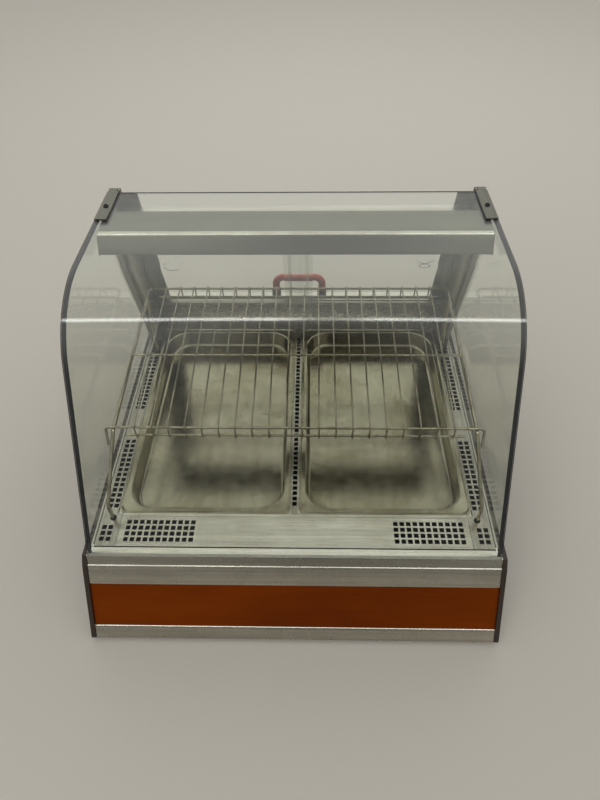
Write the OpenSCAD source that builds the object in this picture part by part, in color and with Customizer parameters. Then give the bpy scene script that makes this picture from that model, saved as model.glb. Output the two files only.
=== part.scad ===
// Counter-top hot food display case: a heated base with two food pans, a bent front glass that
// tilts up, two sliding rear doors, a lamp canopy and a lift-out wire rack.
// Millimetres, +Z up, +Y to the server's side. The origin is under the middle of the footprint.

/* [Overall] */
// Height of the base from its underside to the deck
base_h = 153; // [140:1:170]
// Height of the feet under the base
foot_h = 8; // [6:1:14]
// Height of the glass top above the deck
glass_h = 391; // [370:1:440]
// Slope of the front glass and fascia from upright, degrees
front_slope = 30.3; // [28:0.1:31]
// Forward lean of the rear frame from upright, degrees
rear_lean = 13.3; // [12:0.1:14]

/* [Sheet metal] */
// Thickness of the folded steel sheet
sheet_t = 1.2; // [0.8:0.1:1.5]
// Thickness of the deck plates
deck_t = 1.5; // [1:0.1:1.7]
// Thickness of the end panels
end_t = 8; // [6:0.5:10]
// How far the end panels stand proud of the fascia
end_proud = 2.5; // [0:0.5:4]
// Radius of the lower front corner of the end panels
end_r = 4; // [2:1:20]

/* [Fascia] */
// Drop of the nosing edge below the deck
nose_drop = 16.4; // [13:0.1:20]
// Height of the steel band under the nosing
band_h = 33.6; // [25:0.1:40]
// Height of the lower steel trim
trim_h = 26; // [18:1:34]
// Thickness of the coloured front panel
wood_t = 12; // [8:1:16]
// Recess of the coloured front panel behind the steel
wood_recess = 2; // [1:0.5:4]
// Depth of the steel ledge in front of the deck
ledge_d = 22; // [16:0.5:26]

/* [Deck] */
// Width of a food pan over its rim
pan_w = 325; // [300:1:330]
// Length of a food pan over its rim
pan_l = 530; // [500:1:535]
// Depth of a food pan
pan_depth = 40; // [20:1:55]
// Width of the flat rim of a pan
rim_w = 13; // [12:0.5:20]
// Corner radius of the pan opening
pan_r = 52; // [30:1:70]
// Distance between the two pans
divider_w = 16; // [15:0.5:18]
// Depth of the lift-out perforated panel
panel_d = 62.5; // [56:0.5:66]
// Reach of the side strips past the pans beside that panel
panel_side = 10.5; // [8:0.5:16]
// Depth of the rail between that panel and the pans
cross_d = 8; // [6:0.5:12]
// Width of a perforated side strip
strip_w = 27.1; // [25:0.1:60]
// Depth of the deck behind the pans
rear_strip_d = 59.5; // [48:0.5:100]
// Side of a square air hole
hole = 8.5; // [6:0.5:9]
// Spacing of the air holes
pitch = 12; // [11:0.5:12.5]

/* [Glass] */
// Thickness of the front and side glass
glass_t = 6; // [5:0.5:6.5]
// Outer radius of the bend in the front glass
bend_r = 180; // [140:5:200]
// Gap between an end panel and the side glass
glass_inset = 3.5; // [3:0.5:5]
// Thickness of the sliding door glass
door_t = 5; // [4:0.5:5.5]
// Overlap of the two sliding doors
door_overlap = 66; // [30:2:100]

/* [Rear frame] */
// Gap from the back of the case to the rear frame at deck level
rear_inset = 14.6; // [12:0.2:18]
// Depth of a rear post
post_d = 79; // [70:1:86]
// Width of the box section of a rear post
post_w = 21; // [18:0.5:22]
// Width of the inward flange of a rear post
flange_w = 29.5; // [20:0.5:36]
// Height of the rear sill above the deck
sill_h = 66; // [56:1:80]

/* [Canopy] */
// Height of the canopy
canopy_t = 34.5; // [30:0.5:44]
// Depth of the canopy along its underside
canopy_d = 104; // [90:1:120]
// Radius of the canopy's front edge
canopy_r = 9; // [3:0.5:10]
// Diameter of the lamp tube
lamp_d = 16; // [12:1:18]

/* [Rack] */
// Diameter of the rack's side frames
frame_rod = 7; // [5:0.2:8]
// Diameter of the rack's rails
rail_rod = 5; // [4:0.2:5.4]
// Diameter of the rack's long wires
wire_rod = 3; // [2.4:0.2:3.4]
// Number of long wires
wire_n = 20; // [12:1:24]
// How far the side frames lean in from their feet to the shelf
lean_in = 9; // [0:0.5:12]
// Distance from a side frame to the outermost long wire
wire_edge = 40.5; // [30:0.5:70]

/* [Handle] */
// Outer width of the rear handle
handle_w = 130; // [110:1:170]
// Thickness of the handle bar
handle_rod = 18; // [12:1:18]
// Height of the handle over the rear ledge
handle_h = 64; // [56:1:80]

/* [Controls] */
// Diameter of the thermostat knob
knob_d = 38; // [30:1:46]
// Travel of a rocker switch from off to on, degrees
rocker_swing = 16; // [10:1:20]

/* [Hidden] */
$fn = 64;
// Clearance between pieces that move past each other
run = 0.3;
// Clearance of touching wires in the rack
weld = 0.15;
// Clearance of a shaft or pin in its bore, and of a piece set in a panel, on the diameter
fit = 0.1;
snug = 0.2;
// Amount that a cutter passes a face
cut = 1;
// Depth that a deck punch reaches below the deck
punch = 4;

// Reference heights and the front line
deck_z = foot_h + base_h;
top_z = deck_z + glass_h;
front_tan = tan(front_slope);
front_cos = cos(front_slope);
front_in = [cos(front_slope), -sin(front_slope)];

// Widths, from the middle out
rim_gap = 1;
rail_lip = 1.4;
rail_h = 30;
groove_d = 8;
pan_x = divider_w / 2;
pan_out = pan_x + pan_w;
strip_in = pan_out + rim_gap;
rail_in = strip_in + strip_w;
glass_in = rail_in + rail_lip;
glass_out = glass_in + glass_t;
end_in = glass_out + glass_inset;
case_w = 2 * (end_in + end_t);
fascia_w = 2 * (end_in - run);
front_glass_w = 2 * end_in;
panel_w = 2 * (strip_in - panel_side);

// Depths, from the front back
case_d = base_h * front_tan + ledge_d + panel_d + cross_d + pan_l + rear_strip_d + rear_inset;
function front_y(z) = -case_d / 2 + (z - foot_h) * front_tan;
deck_y = front_y(deck_z);
panel_y = deck_y + ledge_d;
cross_y = panel_y + panel_d;
pan_y = cross_y + cross_d;
pan_back = pan_y + pan_l;
rear_foot = pan_back + rear_strip_d;
rear_y = rear_foot + rear_inset;

// Points in the plane of the leaning rear frame: along its depth, then up its length
function lean_pt(d, l) = [
    rear_foot + d * cos(rear_lean) - l * sin(rear_lean),
    deck_z + d * sin(rear_lean) + l * cos(rear_lean)
];
// Depth position in Y of the leaning plane at depth d and height z
function lean_y(d, z) = rear_foot + d / cos(rear_lean) - (z - deck_z) * tan(rear_lean);

// Deck layout
seam = 0.75;
lip_w = 10.5;
rest_z = deck_z - deck_t - run;
rest_t = 1.2;
column_in = 6.5;
columns = [strip_in + column_in, strip_in + column_in + pitch];
front_rows = 14;
front_row_in = 14.5;
front_row_y = pan_y + front_row_in;
rear_row_in = 265.5;
rear_row_end = 48;
rear_row_y = pan_y + rear_row_in;
rear_rows = floor((pan_l - rear_row_in - rear_row_end) / pitch) + 1;
centre_row_in = 21.5;
centre_row_end = 40;
centre_row_y = pan_y + centre_row_in;
centre_rows = floor((pan_l - centre_row_in - centre_row_end) / pitch) + 1;
corner_rows = 3;
corner_row_in = 15;
corner_row_y = panel_y + corner_row_in;
panel_cols = 11;
panel_rows = 4;
panel_col_in = 15.5;
panel_col_x = panel_w / 2 - panel_col_in - (panel_cols - 1) * pitch;
panel_row_in = 14.5;
panel_row_y = panel_y + panel_row_in;

// Fascia levels
nose_z = deck_z - nose_drop;
band_z = nose_z - band_h;
trim_z = foot_h + trim_h;
riser_in = 1.5;
step_h = 0.8;

// Front glass
bend_n = 40;
rest_strip_t = 1;
glass_foot_z = deck_z + rest_strip_t + run;
hinge_back = 5.6;
pin_y = lean_y(0, top_z) - hinge_back;
pin_down = 2;
pin_z = top_z - pin_down;
pin_d = 5;
barrel_r = 5;
glass_gap = 10;
glass_rear = pin_y - glass_gap;
plate_l = 104;
plate_t = barrel_r + pin_z - top_z;
plate_w = 22;
plate_edge = 3;
plate_in = front_glass_w / 2 - plate_edge - plate_w;
ear_w = 4;
screw_x = plate_in + plate_w / 2;
screw_set = 58;
screw_y = glass_rear - screw_set;
screw_d = 5;
screw_head = 10;
screw_head_h = 3;
pad_t = 3;
pad_d = 10;

// Rear frame
post_in = glass_out - post_w;
post_down = 13;
post_top = top_z - post_down;
seal_wrap = 14;
seal_back = 4;
seal_t = 1.6;
seal_rim = 2;
seal_lap = 0.5;
sit_up = 0.6;
sit = deck_z + sit_up;
far = 2 * case_d;
rim_gap_glass = 0.4;
glass_back = -post_d - seal_back;
door_gap = 4;
track_wall = 2.5;
groove_play = 1;
groove_w = door_t + groove_play;
track_back = -1.5;
groove_rear = track_back - track_wall;
groove_front = groove_rear - groove_w - (door_gap - groove_play);
track_front = groove_front - groove_w - track_wall;
sill_l = sill_h / cos(rear_lean);
sill_lap = 2.5;
sill_front = track_front - sill_lap;
lower_track_h = 8;
lower_groove = 5;
upper_track_h = 11;
upper_groove = 9;
door_head = 46;
upper_track_l = (glass_h - door_head) / cos(rear_lean) - upper_track_h;
door_play = 1;
door_stop = post_in - run - door_play;
door_w = door_stop + door_overlap / 2;
door_low = sill_l + lower_track_h - lower_groove + run;
door_up = 4;
door_high = upper_track_l + door_up;
pull_d = 40;
pull_depth = 1.5;
pull_edge = 60;

// Canopy section
canopy_air = 1.5;
canopy_top = top_z - glass_t - canopy_air;
canopy_low = canopy_top - canopy_t;
canopy_back = -post_d - run;
canopy_front = lean_y(canopy_back, canopy_low) - canopy_d;
canopy_lip = 14;
canopy_gap = 5.5;
canopy_w = 2 * (glass_in - canopy_gap);
cap_t = 1.5;
holder_w = 20;
holder_in = 50;
holder_x = canopy_w / 2 - holder_in;
lamp_y = (canopy_front + lean_y(canopy_back, canopy_low)) / 2;
lamp_up = 11;
lamp_z = canopy_low + lamp_up;
lamp_end = holder_x - holder_w / 2;
lamp_pin_d = 2.4;
lamp_pin_l = 6;
lamp_pin_gap = 6;
lamp_pin_ys = [lamp_y - lamp_pin_gap / 2, lamp_y + lamp_pin_gap / 2];
reflector_t = 0.8;
reflector_top = canopy_top - sheet_t - run;

// Rack, as offsets from the pans and the deck
rod_x = columns[0];
side_x = rod_x - lean_in;
foot_out = 11.5;
foot_y = pan_y - foot_out;
foot_span = 457;
back_foot_y = foot_y + foot_span;
knee_h = 40;
knee_z = deck_z + knee_h;
heel_h = 12;
heel_z = deck_z + heel_h;
foot_sink = 7.7;
foot_clear = 1;
rack_tilt = 4.7;
shelf_d = 377;
rail_set = 105;
rail_up = 140.5;
rail_f = [foot_y + rail_set, deck_z + rail_up];
wire_span = 2 * (side_x - wire_edge);
loop_at = 0.2;
loop_x = side_x + loop_at * lean_in + (frame_rod + rail_rod) / 2 + 2 * weld;
rail_over = 5;
rail_x = loop_x + rail_over;
turn_l = 60;
lower_drop = 24.5;
lower_rail_over = 22;
lower_rail_w = wire_span + 2 * lower_rail_over;
wire_off = (rail_rod + wire_rod) / 2 + weld;
swell = 0.6;
knuckle = frame_rod + swell;
bar_drop = (rail_rod + knuckle) / 2 + weld;
bar_over = 2;
mid_rod = 4;
mid_l = 176;
grommet_wall = 1;
grommet_lap = 1.5;
grommet_d = frame_rod + 2 * grommet_wall;
grommet_flange = grommet_d + 2 * grommet_lap;
grommet_flange_t = 1;
grommet_depth = 10;

// Handle, in the middle of the rear ledge
handle_x = (handle_w - handle_rod) / 2;
handle_z = deck_z + sill_h;
handle_set = 2;
handle_y = (lean_y(0, handle_z) + rear_y) / 2 + handle_set;
boss_h = 18;

// Base contents
floor_z = foot_h + sheet_t;
floor_set = 40;
floor_front = front_y(floor_z) + floor_set;
back_panel_in = 18;
back_panel_y = rear_y - back_panel_in;
floor_back = back_panel_y - sheet_t;
panel_screw_n = 4;
panel_screw_in = 42;
panel_screw_x = end_in - panel_screw_in;
panel_screw_xs = [for (i = [0:panel_screw_n - 1]) panel_screw_x * (2 * i / (panel_screw_n - 1) - 1)];
panel_screw_up = 13;
panel_screw_z = floor_z + panel_screw_up;
panel_screw_d = 4;
heater_rod = 8;
heater_down = 36;
heater_z = deck_z - pan_depth - heater_down;
heater_x = pan_x + pan_w / 2;
heater_r = 60;
heater_bend = 54;
heater_front_in = 140;
heater_front = pan_y + heater_front_in;
heater_back_in = 50;
heater_back = pan_back - heater_back_in;
tray_down = 28;
tray_z = heater_z - tray_down;
tray_front_in = 40;
tray_front = pan_y + tray_front_in;
tray_back_in = 20;
tray_back = pan_back - tray_back_in;
tray_side_in = 10;
tray_w = 2 * (pan_out - tray_side_in);
bracket_front_in = 80;
bracket_back_in = 40;
bracket_ys = [heater_front + bracket_front_in, heater_back - bracket_back_in];

// Controls on the back panel
control_down = 62;
control_z = deck_z - control_down;
knob_in = 152;
knob_x = knob_in - end_in;
knob_h = 14;
bush_d = 10;
bush_h = 3;
shaft_d = 6;
shaft_in = 19;
rocker_off = 100;
rocker_gap = 50;
rocker_xs = [knob_x + rocker_off, knob_x + rocker_off + rocker_gap];
rocker_w = 17;
rocker_l = 24;
bezel = [24, 32];
bezel_t = 2;
housing = [20, 28];
trunnion_in = 3;
trunnion_d = 3;
trunnion_l = 0.9;
pilot_x = rocker_xs[1] + rocker_gap;
pilot_d = 12;
gland_in = 92;
gland_x = end_in - gland_in;
gland_up = 40;
gland_z = foot_h + gland_up;
gland_d = 20;
gland_neck = gland_d - 4;
gland_bore = 9;

// Point in the tilted plane of the rack's shelf: a along it to the back, b above it
function shelf_pt(a, b) = rail_f + [
    a * cos(rack_tilt) - b * sin(rack_tilt), a * sin(rack_tilt) + b * cos(rack_tilt)
];

// Left normal of the segment from a to b
function seg_normal(a, b) = let (d = b - a) [-d[1], d[0]] / norm(d);

// Corner point of a sheet's second face at vertex i
function mitre(p, i, t) =
    i == 0 ? p[0] + t * seg_normal(p[0], p[1])
    : i == len(p) - 1 ? p[i] + t * seg_normal(p[i - 1], p[i])
    : let (m = seg_normal(p[i - 1], p[i]) + seg_normal(p[i], p[i + 1]))
        p[i] + 2 * t * m / (m * m);

// Outline of a sheet folded along the points p, with its thickness on the left
function folded(p, t) = concat(p, [for (i = [len(p) - 1:-1:0]) mitre(p, i, t)]);

// Points along an arc about c, from angle a to angle b
function arc(c, r, a, b, n = 8) = [for (i = [0:n]) let (w = a + (b - a) * i / n) c + r * [cos(w), sin(w)]];

// Draws a (Y, Z) outline along X, centred
module along_x(w) {
    rotate([90, 0, 90]) linear_extrude(height = w, center = true) children();
}

// Draws a (Y, Z) outline along X, from x to x + w
module side_plate(x, w) {
    translate([x + w / 2, 0, 0]) along_x(w) children();
}

// Sheet folded along (Y, Z) points
module folded_sheet(p, t, w) {
    along_x(w) polygon(folded(p, t));
}

// Frame of the leaning rear
module leaning() {
    translate([0, rear_foot, deck_z]) rotate([rear_lean, 0, 0]) children();
}

// Box from its low corner to its high corner
module box(a, b) {
    translate(a) cube(b - a);
}

// Cylinder along X from xa to xb
module bar_x(xa, xb, y, z, d) {
    translate([xa, y, z]) rotate([0, 90, 0]) cylinder(d = d, h = xb - xa);
}

// Cylinder along Y from ya to yb
module bar_y(x, ya, yb, z, d) {
    translate([x, yb, z]) rotate([90, 0, 0]) cylinder(d = d, h = yb - ya);
}

// Rectangle with round corners, centred
module round_rect(w, l, r) {
    square([w - 2 * r, l], center = true);
    square([w, l - 2 * r], center = true);
    for (sx = [-1, 1], sy = [-1, 1]) {
        translate([sx * (w / 2 - r), sy * (l / 2 - r)]) circle(r = r);
    }
}

// Space inside the front glass, set in by d from its outer face, above z and in front of y
module case_profile(d, z, y) {
    bend_z = top_z - bend_r;
    bend_c = [front_y(bend_z) + bend_r / front_cos, bend_z];
    polygon(concat(
        [[front_y(z) + d / front_cos, z]],
        arc(bend_c, bend_r - d, 180 - front_slope, 90, bend_n),
        [[y, top_z - d], [y, z]]
    ));
}

// Round bar bent in the XY plane along the points p, with bends of radius r
module bent_rod(p, d, r) {
    n = len(p);
    dirs = [for (i = [0:n - 2]) (p[i + 1] - p[i]) / norm(p[i + 1] - p[i])];
    turns = [for (i = [1:n - 2]) let (a = dirs[i - 1], b = dirs[i])
        atan2(a[0] * b[1] - a[1] * b[0], a[0] * b[0] + a[1] * b[1])];
    trims = concat([0], [for (w = turns) r * tan(abs(w) / 2)], [0]);
    union() {
        for (i = [0:n - 2]) {
            start = p[i] + dirs[i] * trims[i];
            stop = p[i + 1] - dirs[i] * trims[i + 1];
            translate(start) rotate([0, 90, atan2(dirs[i][1], dirs[i][0])])
                cylinder(d = d, h = norm(stop - start));
        }
        for (i = [1:n - 2]) {
            w = turns[i - 1];
            inward = sign(w) * [-dirs[i - 1][1], dirs[i - 1][0]];
            centre = p[i] - dirs[i - 1] * trims[i] + inward * r;
            translate(centre) rotate(atan2(-inward[1], -inward[0]) + min(w, 0))
                rotate_extrude(angle = abs(w)) translate([r, 0]) circle(d = d);
        }
    }
}

// Stands an XY drawing up in the YZ plane at x
module in_yz(x) {
    translate([x, 0, 0]) rotate([90, 0, 90]) children();
}

// Clearance holes for the back panel's screws, from y to y + l
module panel_screw_holes(y, l) {
    for (x = panel_screw_xs) bar_y(x, y, y + l, panel_screw_z, panel_screw_d + snug);
}

module base_floor() {
    flange_h = 22;
    flange_z = floor_z + flange_h;
    color("silver") difference() {
        folded_sheet([
            [floor_front, flange_z], [floor_front, floor_z], [floor_back, floor_z], [floor_back, flange_z]
        ], sheet_t, fascia_w);
        panel_screw_holes(floor_back - 2 * sheet_t, 3 * sheet_t);
    }
}

module panel_screws() {
    shank_l = 8;
    head_h = 2.4;
    color("silver") for (x = panel_screw_xs) {
        bar_y(x, back_panel_y - shank_l, back_panel_y + cut, panel_screw_z, panel_screw_d);
        bar_y(x, back_panel_y, back_panel_y + head_h, panel_screw_z, 2 * panel_screw_d);
    }
}

module feet() {
    foot_d = 40;
    foot_set = 40;
    foot_side = 52;
    foot_x = end_in - foot_side;
    color("black") for (x = [-foot_x, foot_x], y = [floor_front + foot_set, floor_back - foot_set]) {
        translate([x, y, 0]) cylinder(d = foot_d, h = floor_z);
    }
}

module end_panel() {
    function edge_y(z) = front_y(z) - end_proud / front_cos;
    nose_back = 2;
    corner = [edge_y(foot_h + end_r) + end_r / front_cos, foot_h + end_r];
    side_plate(end_in, end_t) polygon(concat(
        [[rear_y, foot_h]],
        arc(corner, end_r, 270, 180 - front_slope),
        [
            [edge_y(nose_z), nose_z], [deck_y + nose_back, deck_z], [lean_pt(sill_front, 0)[0], deck_z],
            [lean_y(sill_front, deck_z + sill_h), deck_z + sill_h], [rear_y, deck_z + sill_h]
        ]
    ));
}

module left_end_panel() { color("#2b2320") mirror([1, 0, 0]) end_panel(); }

module right_end_panel() { color("#2b2320") end_panel(); }

module front_nosing() {
    band_foot = [front_y(band_z), band_z];
    band_return = 10;
    lip_d = 9;
    lip_y = panel_y + lip_d;
    riser_y = riser_in / front_cos;
    color("lightgray") difference() {
        folded_sheet([
            [lip_y, rest_z], [panel_y, rest_z], [panel_y, deck_z], [deck_y + riser_y, deck_z],
            [front_y(nose_z + step_h) + riser_y, nose_z + step_h], [front_y(nose_z), nose_z], band_foot,
            band_foot + band_return * front_in
        ], sheet_t, fascia_w);
        for (s = [0, 1]) mirror([s, 0, 0]) {
            box([rail_in - run, panel_y, rest_z - 2 * sheet_t], [case_w / 2, lip_y + cut, deck_z + cut]);
        }
    }
}

module front_wood_panel() {
    band_foot = [front_y(band_z), band_z];
    trim_top = [front_y(trim_z), trim_z];
    up = [front_in[1], -front_in[0]];
    color("#9a4b12") along_x(fascia_w) polygon([
        band_foot + wood_recess * front_in + run * up, trim_top + wood_recess * front_in - run * up,
        trim_top + (wood_recess + wood_t) * front_in - run * up,
        band_foot + (wood_recess + wood_t) * front_in + run * up
    ]);
}

module lower_front_trim() {
    floor_lap = 12;
    trim_top = [front_y(trim_z), trim_z];
    color("lightgray") folded_sheet([
        trim_top + (wood_recess + wood_t) * front_in, trim_top, [front_y(foot_h), foot_h],
        [floor_front + floor_lap, foot_h]
    ], sheet_t, fascia_w);
}

module glass_rail() {
    y0 = panel_y + seam;
    chamber = 1.5;
    end_wall = 2;
    difference() {
        box([rail_in, y0, deck_z - rail_h], [end_in - run / 2, rear_foot, deck_z]);
        box([glass_in - run, y0 + end_wall, deck_z - groove_d],
            [glass_out + run, lean_pt(-post_d, 0)[0], deck_z + cut]);
        box([rail_in + chamber, y0 + chamber, deck_z - rail_h - cut],
            [end_in - run / 2 - chamber, rear_foot - chamber, deck_z - groove_d - chamber]);
    }
}

module left_glass_rail() { color("silver") mirror([1, 0, 0]) glass_rail(); }

module right_glass_rail() { color("silver") glass_rail(); }

// Square air hole through the deck at x, y
module air_hole(x, y) {
    box([x - hole / 2, y - hole / 2, deck_z - punch], [x + hole / 2, y + hole / 2, deck_z + cut]);
}

// Rubber cup for a rack foot at y
module grommet(y) {
    difference() {
        union() {
            translate([rod_x, y, deck_z - grommet_depth]) cylinder(d = grommet_d, h = grommet_depth);
            translate([rod_x, y, deck_z]) cylinder(d = grommet_flange, h = grommet_flange_t);
        }
        translate([rod_x, y, deck_z - foot_sink - run])
            cylinder(d = frame_rod + 2 * run, h = foot_sink + run + grommet_flange_t + cut);
    }
}

module deck_strip() {
    difference() {
        union() {
            box([strip_in, pan_y - cut, deck_z - deck_t], [rail_in, rear_foot, deck_z]);
            box([panel_w / 2 + seam, panel_y + seam, deck_z - deck_t], [rail_in, pan_y - rim_gap, deck_z]);
            box([strip_in, pan_y + lip_w, rest_z - rest_t], [strip_in + rest_t, pan_back - lip_w, deck_z]);
            box([pan_out - lip_w, pan_y + lip_w, rest_z - rest_t],
                [strip_in + rest_t, pan_back - lip_w, rest_z]);
        }
        for (x = columns) {
            for (i = [0:front_rows - 1]) air_hole(x, front_row_y + i * pitch);
            for (i = [0:corner_rows - 1]) air_hole(x, corner_row_y + i * pitch);
            for (i = [0:rear_rows - 1]) {
                row_y = rear_row_y + i * pitch;
                beside_foot = x == columns[0] && abs(row_y - back_foot_y) < pitch / 2 + foot_clear;
                if (!beside_foot) air_hole(x, row_y);
            }
        }
        for (y = [foot_y, back_foot_y]) {
            translate([rod_x, y, deck_z - punch]) cylinder(d = grommet_d + fit, h = punch + cut);
        }
    }
}

module left_deck_strip() { color("lightgray") mirror([1, 0, 0]) deck_strip(); }

module right_deck_strip() { color("lightgray") deck_strip(); }

module rack_grommets() {
    color("#141414") for (s = [0, 1], y = [foot_y, back_foot_y]) mirror([s, 0, 0]) grommet(y);
}

module centre_divider() {
    half = divider_w / 2 - rim_gap;
    color("lightgray") difference() {
        union() {
            box([-half, pan_y - rim_gap + seam, deck_z - deck_t], [half, pan_back + rim_gap - seam, deck_z]);
            for (s = [-1, 1]) {
                translate([s * (half - rest_t / 2), 0, 0]) box(
                    [-rest_t / 2, pan_y + lip_w, rest_z - rest_t], [rest_t / 2, pan_back - lip_w, deck_z]);
                translate([s * (half - rest_t + (lip_w + rim_gap) / 2), 0, 0]) box(
                    [-(lip_w + rim_gap) / 2, pan_y + lip_w, rest_z - rest_t],
                    [(lip_w + rim_gap) / 2, pan_back - lip_w, rest_z]);
            }
        }
        for (i = [0:centre_rows - 1]) air_hole(0, centre_row_y + i * pitch);
    }
}

module pan_cross_rail() {
    back = pan_y - rim_gap;
    panel_lap = 8;
    color("lightgray") {
        box([-panel_w / 2, cross_y + seam, deck_z - deck_t], [panel_w / 2, back, deck_z]);
        box([-panel_w / 2, cross_y - panel_lap, rest_z - rest_t], [panel_w / 2, back, rest_z]);
        box([-panel_w / 2, cross_y + seam, rest_z - rest_t], [panel_w / 2, back, deck_z]);
        box([-pan_out, cross_y + seam, rest_z - rest_t], [pan_out, pan_y + lip_w, rest_z]);
    }
}

module rear_deck_strip() {
    front = pan_back + rim_gap;
    color("lightgray") {
        box([-pan_out, front, deck_z - deck_t], [pan_out, rear_foot, deck_z]);
        box([-pan_out, front, rest_z - rest_t], [pan_out, front + rest_t, deck_z]);
        box([-pan_out, pan_back - lip_w, rest_z - rest_t], [pan_out, front + rest_t, rest_z]);
    }
}

module front_deck_panel() {
    half = panel_w / 2;
    tab_h = 12;
    tab_front_in = 12;
    tab_back_in = 16;
    tab_front = panel_y + tab_front_in;
    tab_back = cross_y - tab_back_in;
    color("lightgray") {
        difference() {
            box([-half, panel_y + seam, deck_z - deck_t], [half, cross_y, deck_z]);
            for (s = [-1, 1], i = [0:panel_cols - 1], j = [0:panel_rows - 1]) {
                air_hole(s * (panel_col_x + i * pitch), panel_row_y + j * pitch);
            }
        }
        for (s = [-1, 1]) translate([s * (half - deck_t), 0, 0]) box(
            [-deck_t / 2, tab_front, deck_z - tab_h], [deck_t / 2, tab_back, deck_z - deck_t]);
    }
}

// Pressed pan with its rim on the deck's rest lips
module pan() {
    wall = 1;
    rim_r = 12;
    top = deck_z - run;
    opening = [pan_w - 2 * rim_w, pan_l - 2 * rim_w];
    translate([pan_x + pan_w / 2, pan_y + pan_l / 2, top]) difference() {
        union() {
            translate([0, 0, -rest_t]) linear_extrude(rest_t) round_rect(pan_w, pan_l, rim_r);
            translate([0, 0, -pan_depth]) linear_extrude(pan_depth)
                round_rect(opening[0] + 2 * wall, opening[1] + 2 * wall, pan_r + wall);
        }
        translate([0, 0, wall - pan_depth]) linear_extrude(pan_depth)
            round_rect(opening[0], opening[1], pan_r);
    }
}

module left_pan() { color("gainsboro") mirror([1, 0, 0]) pan(); }

module right_pan() { color("gainsboro") pan(); }

// Hairpin tubular element under a pan
module heater() {
    translate([heater_x, 0, heater_z]) bent_rod([
        [-heater_r, heater_back], [-heater_r, heater_front], [heater_r, heater_front],
        [heater_r, heater_back]
    ], heater_rod, heater_bend);
}

module heaters() {
    color("#4a4a4a") for (s = [0, 1]) mirror([s, 0, 0]) heater();
}

module heater_brackets() {
    bracket_t = 2;
    bracket_up = 12;
    bracket_over = 20;
    bracket_top = heater_z + bracket_up;
    half = heater_r + bracket_over;
    color("silver") for (s = [-1, 1], y = bracket_ys) difference() {
        box([s * heater_x - half, y, tray_z], [s * heater_x + half, y + bracket_t, bracket_top]);
        for (k = [-1, 1]) {
            bar_y(s * heater_x + k * heater_r, y - cut, y + bracket_t + cut, heater_z, heater_rod + snug);
        }
    }
}

module heat_tray() {
    color("silver") folded_sheet([
        [tray_front, floor_z + sheet_t], [tray_front, tray_z], [tray_back, tray_z],
        [tray_back, floor_z + sheet_t]
    ], -sheet_t, tray_w);
}

module rear_base_panel() {
    front = back_panel_y - sheet_t;
    color("lightgray") difference() {
        box([-fascia_w / 2, front, floor_z], [fascia_w / 2, back_panel_y, deck_z - rail_h]);
        bar_y(knob_x, front - cut, back_panel_y + cut, control_z, bush_d + 2 * snug);
        for (x = rocker_xs) {
            box([x - housing[0] / 2 - snug, front - cut, control_z - housing[1] / 2 - snug],
                [x + housing[0] / 2 + snug, back_panel_y + cut, control_z + housing[1] / 2 + snug]);
        }
        bar_y(pilot_x, front - cut, back_panel_y + cut, control_z, pilot_d + snug);
        bar_y(gland_x, front - cut, back_panel_y + cut, gland_z, gland_neck + snug);
        panel_screw_holes(front - cut, sheet_t + 2 * cut);
    }
}

module rear_ledge() {
    ledge_z = deck_z + sill_h;
    lip_z = deck_z - rail_h - sheet_t;
    ledge_in = 1;
    ledge_y = rear_y - ledge_in;
    color("lightgray") folded_sheet([
        [back_panel_y, lip_z], [ledge_y, lip_z], [ledge_y, ledge_z],
        [lean_y(run, ledge_z), ledge_z]
    ], sheet_t, fascia_w);
}

module rear_sill() {
    w = 2 * (post_in - run);
    below = 20;
    sill_d = track_back - sill_front;
    color("lightgray") intersection() {
        leaning() along_x(w) difference() {
            translate([sill_front, -below]) square([sill_d, sill_l + below]);
            translate([sill_front + sheet_t, -below - cut])
                square([sill_d - 2 * sheet_t, sill_l + below + cut - sheet_t]);
        }
        box([-w, rear_foot - case_d, deck_z], [w, rear_foot + case_d, top_z]);
    }
}

module thermostat() {
    body = [44, 32, 36];
    front = back_panel_y - sheet_t;
    bush_y = back_panel_y + bush_h;
    color("#3a3a3a") difference() {
        union() {
            box([knob_x - body[0] / 2, front - body[1], control_z - body[2] / 2],
                [knob_x + body[0] / 2, front, control_z + body[2] / 2]);
            bar_y(knob_x, front, bush_y, control_z, bush_d);
        }
        bar_y(knob_x, front - shaft_in - cut, bush_y + cut, control_z, shaft_d + fit);
    }
}

module thermostat_shaft() {
    color("silver")
        bar_y(knob_x, back_panel_y - sheet_t - shaft_in, back_panel_y + knob_h, control_z, shaft_d);
}

module thermostat_knob() {
    y0 = back_panel_y + bush_h + run;
    skirt_h = 3;
    skirt_w = 3;
    draft = 2;
    grip_d = knob_d - 2 * skirt_w;
    grip_top = grip_d - 2 * draft;
    rib = 2;
    color("black") difference() {
        union() {
            translate([knob_x, y0, control_z]) rotate([-90, 0, 0]) cylinder(d = knob_d, h = skirt_h);
            translate([knob_x, y0, control_z]) rotate([-90, 0, 0])
                cylinder(d1 = grip_d, d2 = grip_top, h = knob_h - rib / 2);
            box([knob_x - rib / 2, y0 + knob_h - rib, control_z],
                [knob_x + rib / 2, y0 + knob_h, control_z + grip_top / 2 - rib]);
        }
        bar_y(knob_x, y0 - cut, back_panel_y + knob_h, control_z, shaft_d + fit);
    }
}

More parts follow.
